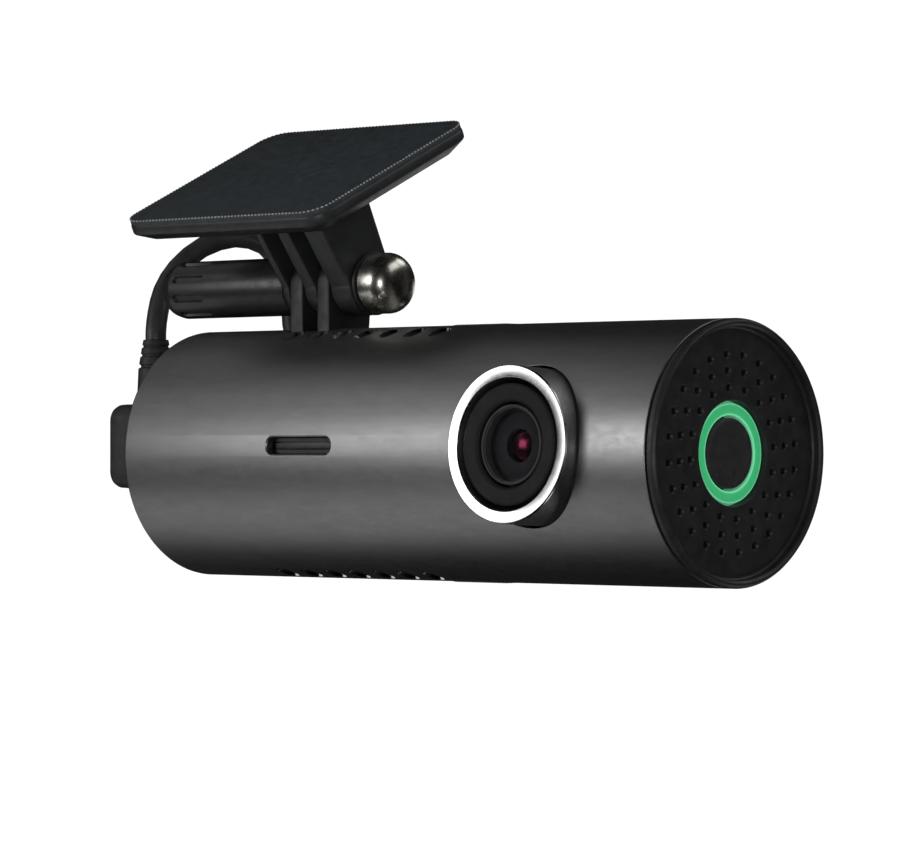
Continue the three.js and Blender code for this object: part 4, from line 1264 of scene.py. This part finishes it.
def make_tie():
    """The strap round the hank and the far plug, as one closed band."""
    hank_y0, hank_y1, half = 17.6, 40.0, 15.4  # what the hank's cord takes up, in Y and in Z
    clear = GAP + 0.05

    def band(margin):
        y0, y1 = hank_y0 - margin, hank_y1 + margin / 2
        y2 = FAR_PLUG["y"] + 3.8 + margin
        z, low, high = half + margin, FAR_PLUG["z"] - 6.3 - margin / 2, FAR_PLUG["z"] + 6.3 + margin / 2
        corners = [(y0, -z), (y1, -z), (y2, low), (y2, high), (y1, z), (y0, z)]
        return rounded(corners, 2.2 + margin, steps=8)

    outer, inner = band(clear + TIE["thickness"] - 0.05), band(clear)
    x0, x1 = TIE["x0"], TIE["x1"]
    section = ((inner, x0), (outer, x0 + 0.1), (outer, x1 - 0.1), (inner, x1))
    strap = moved(skin([level(ring, x) for ring, x in section], loop=True), ALONG_X)
    round_edges(strap, 0.12, segments=2, angle=60)
    piece(strap, "strap", "tie_fabric", "camera", "hank_tie", sharp=50)


make_tie()

# ---------------------------------------------------------------- carried-over pieces, floor and light
slots = {part["node"]: part["material_slot"] for part in frame["record"]["subparts"]}
for name, node in frame["nodes"].items():
    if node.type == "MESH":
        node.data.materials.clear()
        node.data.materials.append(MATERIALS[slots[name]])

FLOOR_Z = cad_low.z - 0.1
floor_mesh = bmesh.new()
sweep = [(-3.0, 0.0)]
for k in range(25):
    turn = math.radians(90 * k / 24)
    sweep.append((1.6 + 1.2 * math.sin(turn), 1.2 * (1 - math.cos(turn))))
sweep.append((2.8, 3.5))
rows = [[floor_mesh.verts.new((x, y, z)) for x in (-4, 4)] for y, z in sweep]
for a, b in zip(rows, rows[1:]):
    floor_mesh.faces.new((a[0], a[1], b[1], b[0]))
floor_mesh.transform(spin(43, "Z"))
floor_data = bpy.data.meshes.new("studio_sweep")
floor_mesh.to_mesh(floor_data)
floor_mesh.free()
for face in floor_data.polygons:
    face.use_smooth = True
floor = bpy.data.objects.new("studio_sweep", floor_data)
floor.location.z = FLOOR_Z
scene.collection.objects.link(floor)
paper = Shade("white_paper", Roughness=0.9)
paper.mottle(grey(0.985), grey(0.995), 40)
paper.bump(paper.noise(1.5), 0.004)
floor_data.materials.append(paper.material)
floor.visible_glossy = False
floor.visible_shadow = False

world = bpy.data.worlds.new("studio_air")
scene.world = world
world.use_nodes = True
world.node_tree.nodes["Background"].inputs["Color"].default_value = (1, 1, 1, 1)
world.node_tree.nodes["Background"].inputs["Strength"].default_value = 1.12
world.cycles_visibility.glossy = False


def softbox(name, target, direction, distance, size, power):
    """A rectangular light, aimed at a housing point from a direction."""
    data = bpy.data.lights.new(name, "AREA")
    data.shape = "RECTANGLE"
    data.size, data.size_y = size
    data.energy = power
    data.spread = math.pi
    light = bpy.data.objects.new(name, data)
    aim = Vector(direction).normalized()
    light.location = place(*target) + aim * distance
    light.rotation_euler = aim.to_track_quat("Z", "Y").to_euler()
    scene.collection.objects.link(light)


# name, target, direction, distance, size, power
for values in (
    ("front_key", (0, 0, 0), (-0.53, -0.83, 0.18), 0.8, (0.4, 0.27), 1.35),
    ("front_low", (-30, 0, 0), (-0.66, -0.42, -0.6), 0.9, (0.8, 0.5), 0.66),
    ("front_high", (-40, 0, 0), (-0.66, -0.2, 0.75), 0.9, (0.9, 0.3), 0.22),
    ("vent_upper", (-55, 0, 0), (-0.682, -0.48, 0.55), 0.9, (0.18, 0.18), 0.14),
    ("rim_back", (0, 0, 0), (0.22, 0.73, 0.65), 0.9, (0.3, 0.3), 0.5),
    ("rim_low", (0, 0, 0), (0.18, 0.73, -0.66), 0.9, (0.3, 0.3), 0.45),
    ("back_soft", (-20, 0, 0), (-0.3, 0.95, -0.12), 1.1, (0.7, 0.4), 0.7),
    ("back_high", (-40, 0, 0), (0.66, 0.35, 0.66), 1.0, (0.6, 0.4), 0.8),
    ("rim_side", (0, 0, 0), (0.55, 0.83, 0.0), 0.9, (0.12, 0.5), 0.012),
    ("fill", (-40, 0, 10), (0.66, -0.75, -0.03), 0.9, (0.15, 0.15), 1.3),
):
    softbox(*values)

scene.view_settings.view_transform = "Standard"
